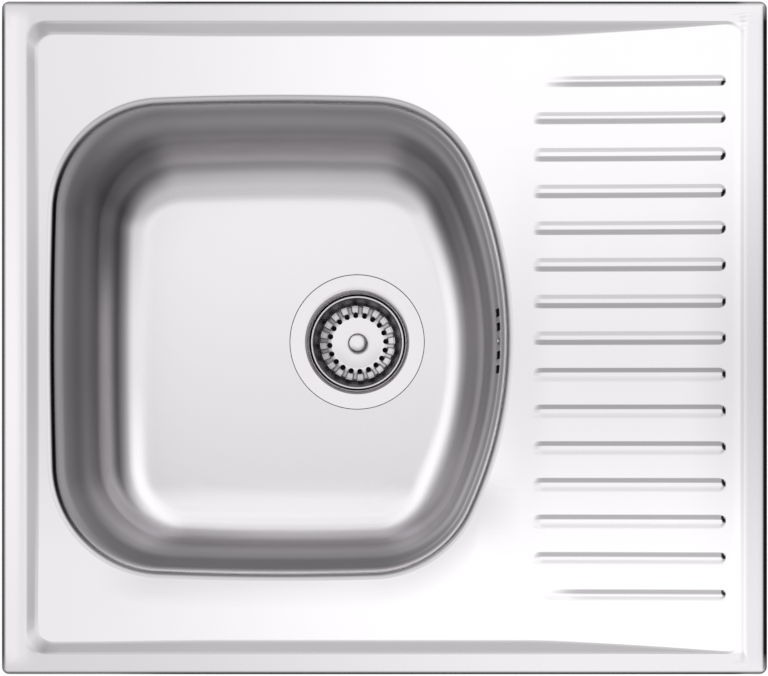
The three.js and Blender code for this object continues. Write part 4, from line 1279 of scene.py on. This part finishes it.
def clamp_bracket():
    """A folded bracket that hangs in the rail's hook, with a slot for the claw's arm."""
    in_hook, plate, neck = RAIL_INSET + 1.45, BRACKET_INSET + 1.5, RAIL_FOOT + 6.5
    section = [
        (in_hook, -13.6), (in_hook + 1.5, -13.6), (in_hook + 1.5, neck), (BRACKET_INSET, neck),
        (BRACKET_INSET, BRACKET_FOOT), (BRACKET_REACH, BRACKET_FOOT), (BRACKET_REACH, BRACKET_FOOT + 1.5),
        (plate, BRACKET_FOOT + 1.5), (plate, BRACKET_SHELF), (BRACKET_REACH, BRACKET_SHELF),
        (BRACKET_REACH, BRACKET_SHELF + 1.5), (plate, BRACKET_SHELF + 1.5), (plate, neck + 1.5),
        (in_hook, neck + 1.5),
    ]
    bracket = drawn("bracket", section, 22, 0.7, 3)
    slot = [(-4.2, -50.5), (-2.2, -52.5), (2.2, -52.5), (4.2, -50.5),
            (4.2, -33), (2.2, -31), (-2.2, -31), (-4.2, -33)]
    arm_slot = placed(drawn("arm_slot", slot, 8, 0.8), shift(20) @ turned(90))
    screw_hole = placed(rod("screw_hole", 3.3, -60, -18), ON_SCREW)
    return bevelled(cut_away(bracket, arm_slot, screw_hole), 0.15)


def clamp_claw():
    """A toothed jaw and arm pressed from strip, with a hexagon nut on the screw."""
    gum = CLAW_TIP - 1.8
    teeth = [(3, CLAW_FOOT), (10, CLAW_FOOT), (10, gum), (8, CLAW_TIP), (6.8, gum), (5.4, CLAW_TIP),
             (4.2, gum), (3, CLAW_TIP)]
    jaw = drawn("claw", teeth, 14)
    arm = block("arm", 4, 24, -3.8, 3.8, CLAW_FOOT, CLAW_FOOT + 3)
    nut = placed(rod("nut", 6, CLAW_FOOT, CLAW_FOOT + 6, 6), ON_SCREW)
    claw = joined(jaw, arm, nut)
    bore = rounded([(0, CLAW_FOOT - 4), (3.3, CLAW_FOOT - 4), (3.3, -36), (0, -36)], 0.1)
    thread = placed(spun("bore", bore, 32), ON_SCREW)
    return bevelled(cut_away(claw, thread), 0.25)


def clamp_screw(pitch):
    """A screw with a slotted cheese head at its foot and a thread up to its chamfered tip."""
    head_top = BRACKET_FOOT - GAP
    tip = BRACKET_SHELF + 3.5
    head = rounded([(0, head_top - 4), (5.2, head_top - 4), (5.2, head_top), (2.7, head_top)], 0.5)
    thread = threaded(2.98, head_top + 2, tip - 1, pitch, 0.35)
    profile = [*head, (2.7, head_top + 1.6), *thread, (1.9, tip), (0, tip)]
    screw = spun("screw", profile, 32)
    slot = block("driver_slot", -6, 6, -0.7, 0.7, head_top - 5, head_top - 2.5)
    return placed(cut_away(screw, slot), ON_SCREW)


EDGES = {
    "left": (-WIDTH / 2, 0, 0, *SHORT_EDGE),
    "right": (WIDTH / 2, 0, 180, *SHORT_EDGE),
    "front": (0, -DEPTH / 2, 90, *LONG_EDGE),
    "back": (0, DEPTH / 2, -90, *LONG_EDGE),
}


class SINK_OT_clamps(bpy.types.Operator):
    """Models the rails and clamps that hold the sink down to the worktop"""
    bl_idname = "sink.clamps"
    bl_label = "Rails and clamps"

    def execute(self, context):
        pitch = context.scene.sink_waste.screw_pitch / MM
        rails = {reach: clamp_rail(reach) for reach, _ in (SHORT_EDGE, LONG_EDGE)}
        models = {"bracket": clamp_bracket(), "claw": clamp_claw(), "screw": clamp_screw(pitch)}
        for side, (x, y, turn, reach, apart) in EDGES.items():
            edge = at(x, y, 0, turned(turn))
            rail = placed(copy_of(rails[reach], f"rail_{side}"), edge)
            finished(rail, "zinc", "root", f"clamp_rail_{side}")
            for index, sign in ((1, -1), (2, 1)):
                label = f"{side}_{index}"
                spot = edge @ shift(y=sign * apart)
                bodies = {"bracket": "root", "claw": f"claw_{label}", "screw": f"screw_{label}"}
                for kind, model in models.items():
                    piece = placed(copy_of(model, f"{kind}_{label}"), spot)
                    finished(piece, "zinc", bodies[kind], f"clamp_{kind}_{label}")
        for model in (*rails.values(), *models.values()):
            bpy.data.objects.remove(model)
        return {"FINISHED"}


# ---- Waste: heights from the flange's top, radii from the drain's axis ----

def waste_ring(name, section, radius, cells, steps, finish, body, node):
    """A ring of one rounded section round the drain's axis, in its place."""
    piece = placed(spun(name, ring_of(rounded(section, radius, True, cells)), steps), IN_WASTE)
    return finished(piece, finish, body, node)


class SINK_OT_waste_cup(bpy.types.Operator):
    """Models the flanged cup and the gaskets that clamp it to the bowl"""
    bl_idname = "sink.waste_cup"
    bl_label = "Waste cup"

    def execute(self, context):
        inside = [(57.5, -1.2), (57.5, -0.12), (57.38, 0), (48.2, 0), (46.4, -0.18), (44.9, -0.65),
                  (43.5, -1.5), (42.4, -2.8), (41.6, -4.6), (41.1, -7), (41, -14), (35.6, -19.4),
                  (34.8, -21.3), (32.6, -21.7), (32.2, -35), (27.8, -39.4), (27.8, -50), (4, -50)]
        outside = [(4, -51.2), (29, -51.2), (29, -39.9), (33.4, -35.5), (33.8, -22.9), (35.9, -22.4),
                   (36.7, -19.9), (42.2, -14.4), (42.6, -5.4), (43.7, -2.9), (45.6, -1.5), (47.5, -1.2)]
        cup = spun("flanged_cup", ring_of(rounded([*inside, *outside], 0.7, True)), 160)
        windows = [placed(rod("window", 6.5, -55, -45, 32), turned(60 * k) @ shift(17)) for k in range(6)]
        cut_away(cup, *windows)
        placed(cup, IN_WASTE)
        finished(cup, "bright", "root", "waste_cup")
        flange = [(47, -2.3), (56.5, -2.3), (56.7, -1.9), (56.5, -1.5), (47, -1.5)]
        waste_ring("thin_flange_gasket", flange, 0.3, 3, 128, "rubber", "root", "flange_gasket")
        under = [(46.5, -6.2), (54, -6.2), (54.2, -5), (54, -3.7), (46.5, -3.7)]
        waste_ring("thick_body_gasket", under, 0.6, 4, 128, "rubber", "root", "body_gasket")
        return {"FINISHED"}


class SINK_OT_waste_body(bpy.types.Operator):
    """Models the plastic body under the bowl, its threaded outlet and the bolt"""
    bl_idname = "sink.waste_body"
    bl_label = "Waste body"

    def execute(self, context):
        settings = context.scene.sink_waste
        thread = threaded(23.85, -94.5, -72.5, settings.outlet_pitch / MM, 1.1)
        inner = [(54, -6.5), (44.5, -6.5), (44.5, -52), (20.5, -66), (20.5, -98), (22.7, -98), (23.2, -97)]
        outer = [(22.75, -71.4), (23.9, -69), (47, -53.5), (47, -9.5), (54, -9.5)]
        profile = rounded(inner, 0.8, steps=3) + thread + rounded(outer, 1.2, steps=3)
        body = spun("funnel_body", ring_of(profile), 96)
        arms = []
        for degrees in (30, 150, 270):
            spoke = drawn("spoke", [(0, -64), (34, -56.5), (45.4, -55), (45.4, -52.6), (0, -55)], 3)
            arms.append(placed(spoke, turned(degrees)))
        boss = spun("boss", rounded([(0, -68), (7, -68), (7, -54), (0, -54)], 1), 48)
        in_side = shift(z=-HOSE_END_DROP) @ ALONG_X
        barbs = [(0, 45.7), (8.5, 45.7), (8.5, 52), (8.8, 58), (8.1, 58.6), (8.8, 64), (8.1, 64.6),
                 (8.8, 70), (8.1, 74), (0, 74)]
        spigot = placed(spun("spigot", rounded(barbs, 0.3, steps=2), 48), in_side)
        shoulder = rounded([(0, 44.8), (11.5, 44.8), (11.5, 49), (0, 49)], 0.8)
        collar = placed(spun("collar", shoulder, 48), in_side)
        joined(body, *arms, boss, collar, spigot)
        bore = placed(rod("bore", SPIGOT_BORE, 40, 80, 48), in_side)
        cut_away(body, bore, rod("bolt_hole", 3.3, -80, -45, 32))
        ribs = []
        for k in range(24):
            if k % 6:
                rib = block("grip", 46.6, 48.4, -0.9, 0.9, -51, -12)
                ribs.append(placed(bevelled(rib, 0.5), turned(15 * k)))
        joined(body, together("grips", ribs))
        placed(body, IN_WASTE)
        finished(body, "plastic", "root", "waste_body")
        shank = threaded(2.98, -70.8, -50.4, settings.screw_pitch / MM, 0.35)
        head = [(2.6, -49.7), (6.5, -49.7), (6.5, -42.7), (3.6, -42.7), (3.6, -48.5), (0, -48.5)]
        profile = [(0, -72), (2.0, -72), *shank, (2.6, -49.9), *rounded(head, 0.5, steps=3)[1:]]
        bolt = placed(spun("socket_bolt", profile, 48), IN_WASTE)
        finished(bolt, "zinc", "root", "clamping_bolt")
        return {"FINISHED"}


class SINK_OT_strainer(bpy.types.Operator):
    """Models the strainer basket with its flutes and holes"""
    bl_idname = "sink.strainer"
    bl_label = "Strainer basket"

    def execute(self, context):
        settings = context.scene.sink_waste
        inner = [(40.3, -8.2), (40.1, -7.3), (39.3, -6.9), (38.5, -7.3), (37.9, -8.6)]
        inner += line((37.9, -8.6), (33.3, -18.8), 6)
        inner += [(32.4, -20.3), (31.3, -21.2)]
        inner += line((31.3, -21.2), (25.6, -23.6), 9)
        inner += [(22.6, -24.7), (21.2, -24.7), (18.8, -24.4), (11, -24.35), (3.4, -24.5)]
        outer = [(3.4, -25.3), (11, -25.15), (18.8, -25.25), (21.2, -25.55), (23.2, -25.5), (25.9, -24.5),
                 (31.7, -22.1), (33.1, -20.9), (34.1, -19.2), (38.5, -9.4), (39.4, -8.6)]
        profile = rounded([*inner, *outer], 0.5, True)
        basket = spun("fluted_basket", ring_of(profile), 320)
        count = settings.flutes

        def wave(around):
            return math.cos(count * (around - settings.phase))

        def crest(height):
            return smooth(0.5 + 1.6 * (height + 0.4))

        # Painted light and shade on the basket: darker flute valleys, more so on one side, a dark band round
        # its wall with a darker line below the rim, and a painted shadow at the disc's edge on one side.
        def tone(vertex):
            radius, around = polar(vertex)
            height = wave(around)
            valley = 0.48 + 0.3 * (0.5 + 0.5 * math.cos(around + math.radians(40)))
            wall = 0.2 - 0.13 * height * smooth((38.5 - radius) / 2) + 0.06 * math.sin(7 * around)
            disc = 1 - 0.16 * smooth((radius - 16) / 4) * smooth(0.2 - math.sin(around))
            stops = [(21, disc), (22.6, 1), (25, 1), (26, valley + (1 - valley) * crest(height)),
                     (31.5, valley - 0.1 + (1.05 - valley) * crest(height)), (33.2 + 0.7 * height, wall),
                     (37.6, wall), (38.2, 0.06), (38.7, 1)]
            return 1 if vertex.normal.z < -0.3 else between(stops, radius)

        with edit_mode(basket) as mesh:
            for vertex in mesh.verts:
                radius, around = polar(vertex)
                zone = smooth((radius - 25.4) / 1.4) * smooth((33.4 - radius) / 1.8)
                vertex.co.z += settings.flute_depth * zone * crest(wave(around))
        holes = []
        for k in range(count):
            turn = Matrix.Rotation(settings.phase + 2 * math.pi * k / count, 4, "Z")
            holes.append(placed(rod("hole", settings.hole / 2 / MM, -30, -20, 24), turn @ shift(24.5)))
        cut_away(basket, together("holes", holes))
        light_painted(basket, tone)
        placed(basket, IN_WASTE)
        finished(basket, "basket", "strainer", "strainer_basket")
        return {"FINISHED"}


class SINK_OT_plug(bpy.types.Operator):
    """Models the knob, stem, rubber plug and retainer that lift together"""
    bl_idname = "sink.plug"
    bl_label = "Plug"

    def execute(self, context):
        body = "plug"
        knob = [(0, -18.2), (3.1, -18.2), (3.1, -24.2), (4.6, -24.2), (5, -18.5), (7.6, -17.4),
                (8.4, -16.2), (8.5, -15.2), (8.1, -14.1), (7.2, -13.2), (5.7, -12.55), (3.6, -12.12),
                (0, -12)]

        # Painted shade: the knob darker towards its edge on one side.
        def tone(vertex):
            radius, around = polar(vertex)
            return 1 - 0.6 * smooth((radius - 4.5) / 3) * smooth(0.35 + math.cos(around + math.radians(60)))

        piece = placed(light_painted(spun("domed_knob", rounded(knob, 1.1, steps=5), 96), tone), IN_WASTE)
        finished(piece, "basket", body, "plug_knob", angle=50)
        stem = [(0, -46.5), (2.8, -46.5), (2.8, -41.4), (2.3, -41.2), (2.3, -40.4), (2.8, -40.2),
                (2.8, -18.5), (0, -18.5)]
        piece = placed(spun("lift_stem", rounded(stem, 0.4, steps=3), 48), IN_WASTE)
        finished(piece, "zinc", body, "plug_stem")
        plug = [(3.1, -37.5), (24, -37.5), (28.6, -37.1), (29.4, -36.2), (28.9, -35.0), (24, -34.9),
                (23.2, -35.5), (9, -35.5), (8, -34.9), (3.1, -34.9)]
        waste_ring("rubber_seal_plug", plug, 0.5, 4, 128, "rubber", body, "rubber_plug")
        clip = [(3.1, -39.6), (6, -39.6), (6, -38.6), (4.4, -38.4), (4.2, -37.8), (3.1, -37.8)]
        waste_ring("stem_retainer", clip, 0.3, 3, 64, "zinc", body, "plug_retainer")
        return {"FINISHED"}


# ---- Overflow behind the right wall ----

def housing_outline():
    """The housing's rounded rectangle of (y, z) points, with its straight sides in even parts."""
    points = round_box(-HOUSING_HALF, HOUSING_HALF, HOUSING_LOW, HOUSING_HIGH, 4, 6)
    made = []
    for i, (y, z) in enumerate(points):
        v, w = points[(i + 1) % len(points)]
        parts = max(1, round(math.hypot(v - y, w - z) / 4))
        made += [(y + (v - y) * k / parts, z + (w - z) * k / parts) for k in range(parts)]
    return made


def wall_outside(y, z, roll, clear):
    """Where the outside of the bowl's right wall lies, with a clearance."""
    top, _, _ = wall_section(roll)
    inset = top[0] + (DECK - z - top[1]) / math.tan(WALL_LEAN)
    radius = RIGHT_BOW - inset + (GAUGE + clear) / math.sin(WALL_LEAN)
    return BOWL_RIGHT - RIGHT_BOW + math.sqrt(radius ** 2 - y ** 2)


class SINK_OT_overflow(bpy.types.Operator):
    """Models the overflow's gasket, housing and screw"""
    bl_idname = "sink.overflow"
    bl_label = "Overflow"

    def execute(self, context):
        roll = context.scene.sink_sheet.roll / MM
        outer = housing_outline()
        middle_z, half_height = (HOUSING_LOW + HOUSING_HIGH) / 2, (HOUSING_HIGH - HOUSING_LOW) / 2

        def scaled(wall):
            across, up = (HOUSING_HALF - wall) / HOUSING_HALF, (half_height - wall) / half_height
            return [(y * across, middle_z + (z - middle_z) * up) for y, z in outer]

        inner = scaled(4)
        back = HOUSING_X - GAP
        rings = []
        for outline, side in ((outer, 0), (outer, 1), (inner, 1), (inner, 0)):
            rings.append([(back if side else wall_outside(y, z, roll, GAP), y, z) for y, z in outline])
        gasket = bevelled(lofted("overflow_frame_gasket", rings, "joined"), 0.4)
        placed(gasket, at(0, 0, 0))
        finished(gasket, "rubber", "root", "overflow_gasket")

        stages = [(2, HOUSING_END - 2), (2, HOUSING_X), (0, HOUSING_X), (0, HOUSING_END - 3),
                  (0.25, HOUSING_END - 1.4), (1.3, HOUSING_END - 0.3), (3, HOUSING_END)]
        rings = [[(x, y, z) for y, z in scaled(wall)] for wall, x in stages]
        housing = lofted("overflow_box", rings, "capped")
        in_wall = shift(z=OVERFLOW_Z) @ ALONG_X
        boss = placed(rod("boss", 4.5, HOUSING_X + 1, HOUSING_END - 1, 48), in_wall)
        under = shift(HOSE_X, 0, HOUSING_LOW)
        barbs = [(0, 1), (8.5, 1), (8.5, -4), (8.8, -9), (8.1, -9.6), (8.8, -14), (8.1, -14.6),
                 (8.7, -18), (8.1, -20), (0, -20)]
        spigot = placed(spun("spigot", rounded(barbs, 0.3, steps=2), 48), under)
        joined(housing, boss, spigot)
        bore = placed(rod("bore", SPIGOT_BORE, -30, 5, 48), under)
        hole = placed(rod("screw_bore", 2.1, HOUSING_X - 2, HOUSING_END - 1, 32), in_wall)
        cut_away(housing, bore, hole)
        placed(housing, at(0, 0, 0))
        finished(housing, "plastic", "root", "overflow_housing")

        seat = wall_outside(0, OVERFLOW_Z, roll, 0) - GAUGE / math.sin(WALL_LEAN) - 2 * GAP
        thread = threaded(1.78, seat + 3, HOUSING_END - 3.6, 0.8, 0.25)
        head = [(0, seat - 1.0), (2.6, seat - 1.0), (3.2, seat - 0.6), (3.2, seat), (1.5, seat)]
        tip = HOUSING_END - 3
        profile = [*rounded(head, 0.35, steps=3), (1.5, seat + 2.4), *thread, (1.0, tip), (0, tip)]
        screw = spun("overflow_fixing_screw", profile, 48)
        cuts = [block("cross", -x, x, -y, y, seat - 2, seat - 0.55) for x, y in ((2, 0.3), (0.3, 2))]
        cut_away(screw, *cuts)
        placed(screw, at(0, 0, OVERFLOW_Z, ALONG_X))
        finished(screw, "bright", "root", "overflow_screw")
        return {"FINISHED"}


def hose_route():
    """Points down from the housing, round the bend and in to the waste's spigot."""
    low = FLANGE_TOP - HOSE_END_DROP
    start, bend_top = Vector((HOSE_X, 0, HOUSING_LOW - 0.5)), Vector((HOSE_X, 0, low + 56))
    down, side = Vector((HOSE_X, 0, low + 26)), Vector((DRAIN_X + 104, DRAIN_Y, low))
    bend_end, end = Vector((DRAIN_X + 76, DRAIN_Y, low)), Vector((DRAIN_X + 47.6, DRAIN_Y, low))
    route = [start.lerp(bend_top, t) for t in spread(0, 1, 20, False)]
    for t in spread(0, 1, 60, False):
        a, b, c = bend_top.lerp(down, t), down.lerp(side, t), side.lerp(bend_end, t)
        route.append(a.lerp(b, t).lerp(b.lerp(c, t), t))
    return route + [bend_end.lerp(end, t) for t in spread(0, 1, 10)]


def along_route(route, distance):
    """The point and direction at a distance along a route."""
    for a, b in zip(route, route[1:]):
        reach = (b - a).length
        if distance <= reach:
            return a.lerp(b, distance / reach), (b - a).normalized()
        distance -= reach
    return route[-1], (route[-1] - route[-2]).normalized()


def hose_clip():
    """A band round a hose cuff with a crimped ear."""
    inner = 11.9
    path = arc(0, 0, inner + 0.5, math.radians(104), math.radians(436), 72, True)
    path += [(2.5, inner + 2.6), (2.6, inner + 4.4), (1.8, inner + 5.2), (0, inner + 4.9),
             (-1.8, inner + 5.2), (-2.6, inner + 4.4), (-2.5, inner + 2.6)]
    sides = []
    for off in (0.5, -0.5):
        side = []
        for i, (x, y) in enumerate(path):
            ax, ay = path[i - 1]
            bx, by = path[(i + 1) % len(path)]
            reach = math.hypot(bx - ax, by - ay)
            side.append((x + (by - ay) / reach * off, y - (bx - ax) / reach * off))
        sides.append(side)
    rings = [raised(sides[0], -4.5), raised(sides[0], 4.5), raised(sides[1], 4.5), raised(sides[1], -4.5)]
    return bevelled(lofted("clip", rings, "joined"), 0.25)


HOSE_RIB = [(0.05, 11.25), (0.2, 12.2), (0.34, 12.9), (0.5, 13), (0.66, 12.9), (0.8, 12.2), (0.95, 11.25)]


class SINK_OT_overflow_hose(bpy.types.Operator):
    """Models the ribbed hose and its two clips"""
    bl_idname = "sink.overflow_hose"
    bl_label = "Overflow hose"

    def execute(self, context):
        route = hose_route()
        total = sum((b - a).length for a, b in zip(route, route[1:]))
        pitch = context.scene.sink_waste.hose_ribs / MM
        ribs = math.floor((total - 52) / pitch)
        first = (total - ribs * pitch) / 2
        skin = [(0, 11.2), (0.3, 11.6), (first - 1.5, 11.6), (first - 0.5, 11.3)]
        for i in range(ribs):
            skin += [(first + (i + step) * pitch, radius) for step, radius in HOSE_RIB]
        last = total - first
        skin += [(last + 0.5, 11.3), (last + 1.5, 11.6), (total - 0.3, 11.6), (total, 11.2)]
        skin += [(total, 9.9)] + [(distance, 9.9) for distance in spread(last, first, 40)] + [(0, 9.9)]
        rings = []
        for distance, radius in skin:
            centre, ahead = along_route(route, distance)
            side = (Vector((0, 1, 0)) - ahead * ahead.y).normalized()
            up = ahead.cross(side)
            rings.append([tuple(centre + side * (radius * math.cos(a)) + up * (radius * math.sin(a)))
                          for a in spread(0, 2 * math.pi, 28, False)])
        hose = lofted("ribbed_hose", rings, "joined")
        placed(hose, at(0, 0, 0))
        finished(hose, "hose", "root", "overflow_hose", angle=50)
        clip = hose_clip()
        upper = placed(copy_of(clip, "upper_clip"), at(HOSE_X, 0, HOUSING_LOW - 12))
        finished(upper, "zinc", "root", "hose_clip_upper")
        lower = placed(clip, at(DRAIN_X + 60, DRAIN_Y, FLANGE_TOP - HOSE_END_DROP, ALONG_X))
        lower.name = "lower_clip"
        finished(lower, "zinc", "root", "hose_clip_lower")
        return {"FINISHED"}


# ---- Stage ----

class SINK_OT_stage(bpy.types.Operator):
    """Sets up the floor, the soft light from above and the camera"""
    bl_idname = "sink.stage"
    bl_label = "Stage"

    def execute(self, context):
        scene = context.scene
        stage = scene.sink_stage
        scene.view_settings.view_transform = "Standard"
        floor = new_piece("floor", bpy.ops.mesh.primitive_plane_add, size=8)
        floor.location = (0, MIDDLE.y, CAD_BOX[0].z - 0.0005)
        made, board = material("pale_floor")
        tone = board.blend(board.grain(40, 3), shade(stage.floor, 0.99), tuple(stage.floor))
        board.surface(Base_Color=tone, Roughness=0.9,
                      Emission_Color=tuple(stage.floor), Emission_Strength=0.75)
        floor.data.materials.append(made)

        scene.world = bpy.data.worlds.new("studio")
        board = Board(scene.world)
        direction = board.node("ShaderNodeTexCoord", out="Generated")
        height = board.node("ShaderNodeSeparateXYZ", {}, {0: direction}, out="Z")
        back = board.node("ShaderNodeSeparateXYZ", {}, {0: direction}, out="Y")
        above = board.node("ShaderNodeMapRange", {}, {"Value": height, "From Min": 0.05, "From Max": 0.75})
        light = above.maths("MAXIMUM", above, board.step(back, 0.35, 0.8, 0, stage.window))
        light = light * board.step(back, -0.40, -0.05, stage.front, 1) * stage.overhead
        seen = board.node("ShaderNodeLightPath", out="Is Camera Ray")
        studio = board.node("ShaderNodeBackground", {}, {"Color": (1, 1, 1, 1), "Strength": light})
        backdrop = board.node("ShaderNodeBackground", {}, {"Color": (1, 1, 1, 1), "Strength": 0.92})
        mixed = board.node("ShaderNodeMixShader", {}, {0: seen, 1: studio, 2: backdrop})
        board.node("ShaderNodeOutputWorld", {}, {"Surface": mixed})

        deselect_all()
        place = (CAMERA_X, MIDDLE.y + CAMERA_Y, RIM_TOP * MM + stage.camera_height)
        bpy.ops.object.camera_add(location=place, rotation=(0, 0, 0))
        camera = context.object
        camera.data.sensor_width = 36
        camera.data.lens = camera.data.sensor_width * stage.camera_height / PICTURE_SPAN
        camera.data.shift_x, camera.data.shift_y = LENS_SHIFT
        scene.camera = camera
        return {"FINISHED"}


PIECES = [
    SINK_OT_stage, SINK_OT_pressed_sheet, SINK_OT_rim_seal, SINK_OT_sound_pads, SINK_OT_earthing_tag,
    SINK_OT_clamps, SINK_OT_waste_cup, SINK_OT_waste_body, SINK_OT_strainer, SINK_OT_plug, SINK_OT_overflow,
    SINK_OT_overflow_hose,
]


class SINK_PT_sidebar(bpy.types.Panel):
    """Lists the pieces of the sink and their sizes"""
    bl_idname = "SINK_PT_sidebar"
    bl_label = "Kitchen sink"
    bl_space_type = "VIEW_3D"
    bl_region_type = "UI"
    bl_category = "Sink"

    def draw(self, context):
        for piece in PIECES:
            self.layout.operator(piece.bl_idname)
        for group in SETTINGS:
            box = self.layout.box()
            values = getattr(context.scene, group)
            for name in values.bl_rna.properties.keys():
                if name not in {"rna_type", "name"}:
                    box.prop(values, name)


SETTINGS = {
    "sink_sheet": SheetSettings,
    "sink_waste": WasteSettings,
    "sink_finish": FinishSettings,
    "sink_stage": StageSettings,
}


def register():
    for made in (*SETTINGS.values(), *PIECES, SINK_PT_sidebar):
        bpy.utils.register_class(made)
    for name, group in SETTINGS.items():
        setattr(bpy.types.Scene, name, PointerProperty(type=group))


def unregister():
    for name in SETTINGS:
        delattr(bpy.types.Scene, name)
    for made in reversed((*SETTINGS.values(), *PIECES, SINK_PT_sidebar)):
        bpy.utils.unregister_class(made)


def main():
    register()
    for piece in PIECES:
        group, name = piece.bl_idname.split(".")
        getattr(getattr(bpy.ops, group), name)()


if __name__ == "__main__":
    main()
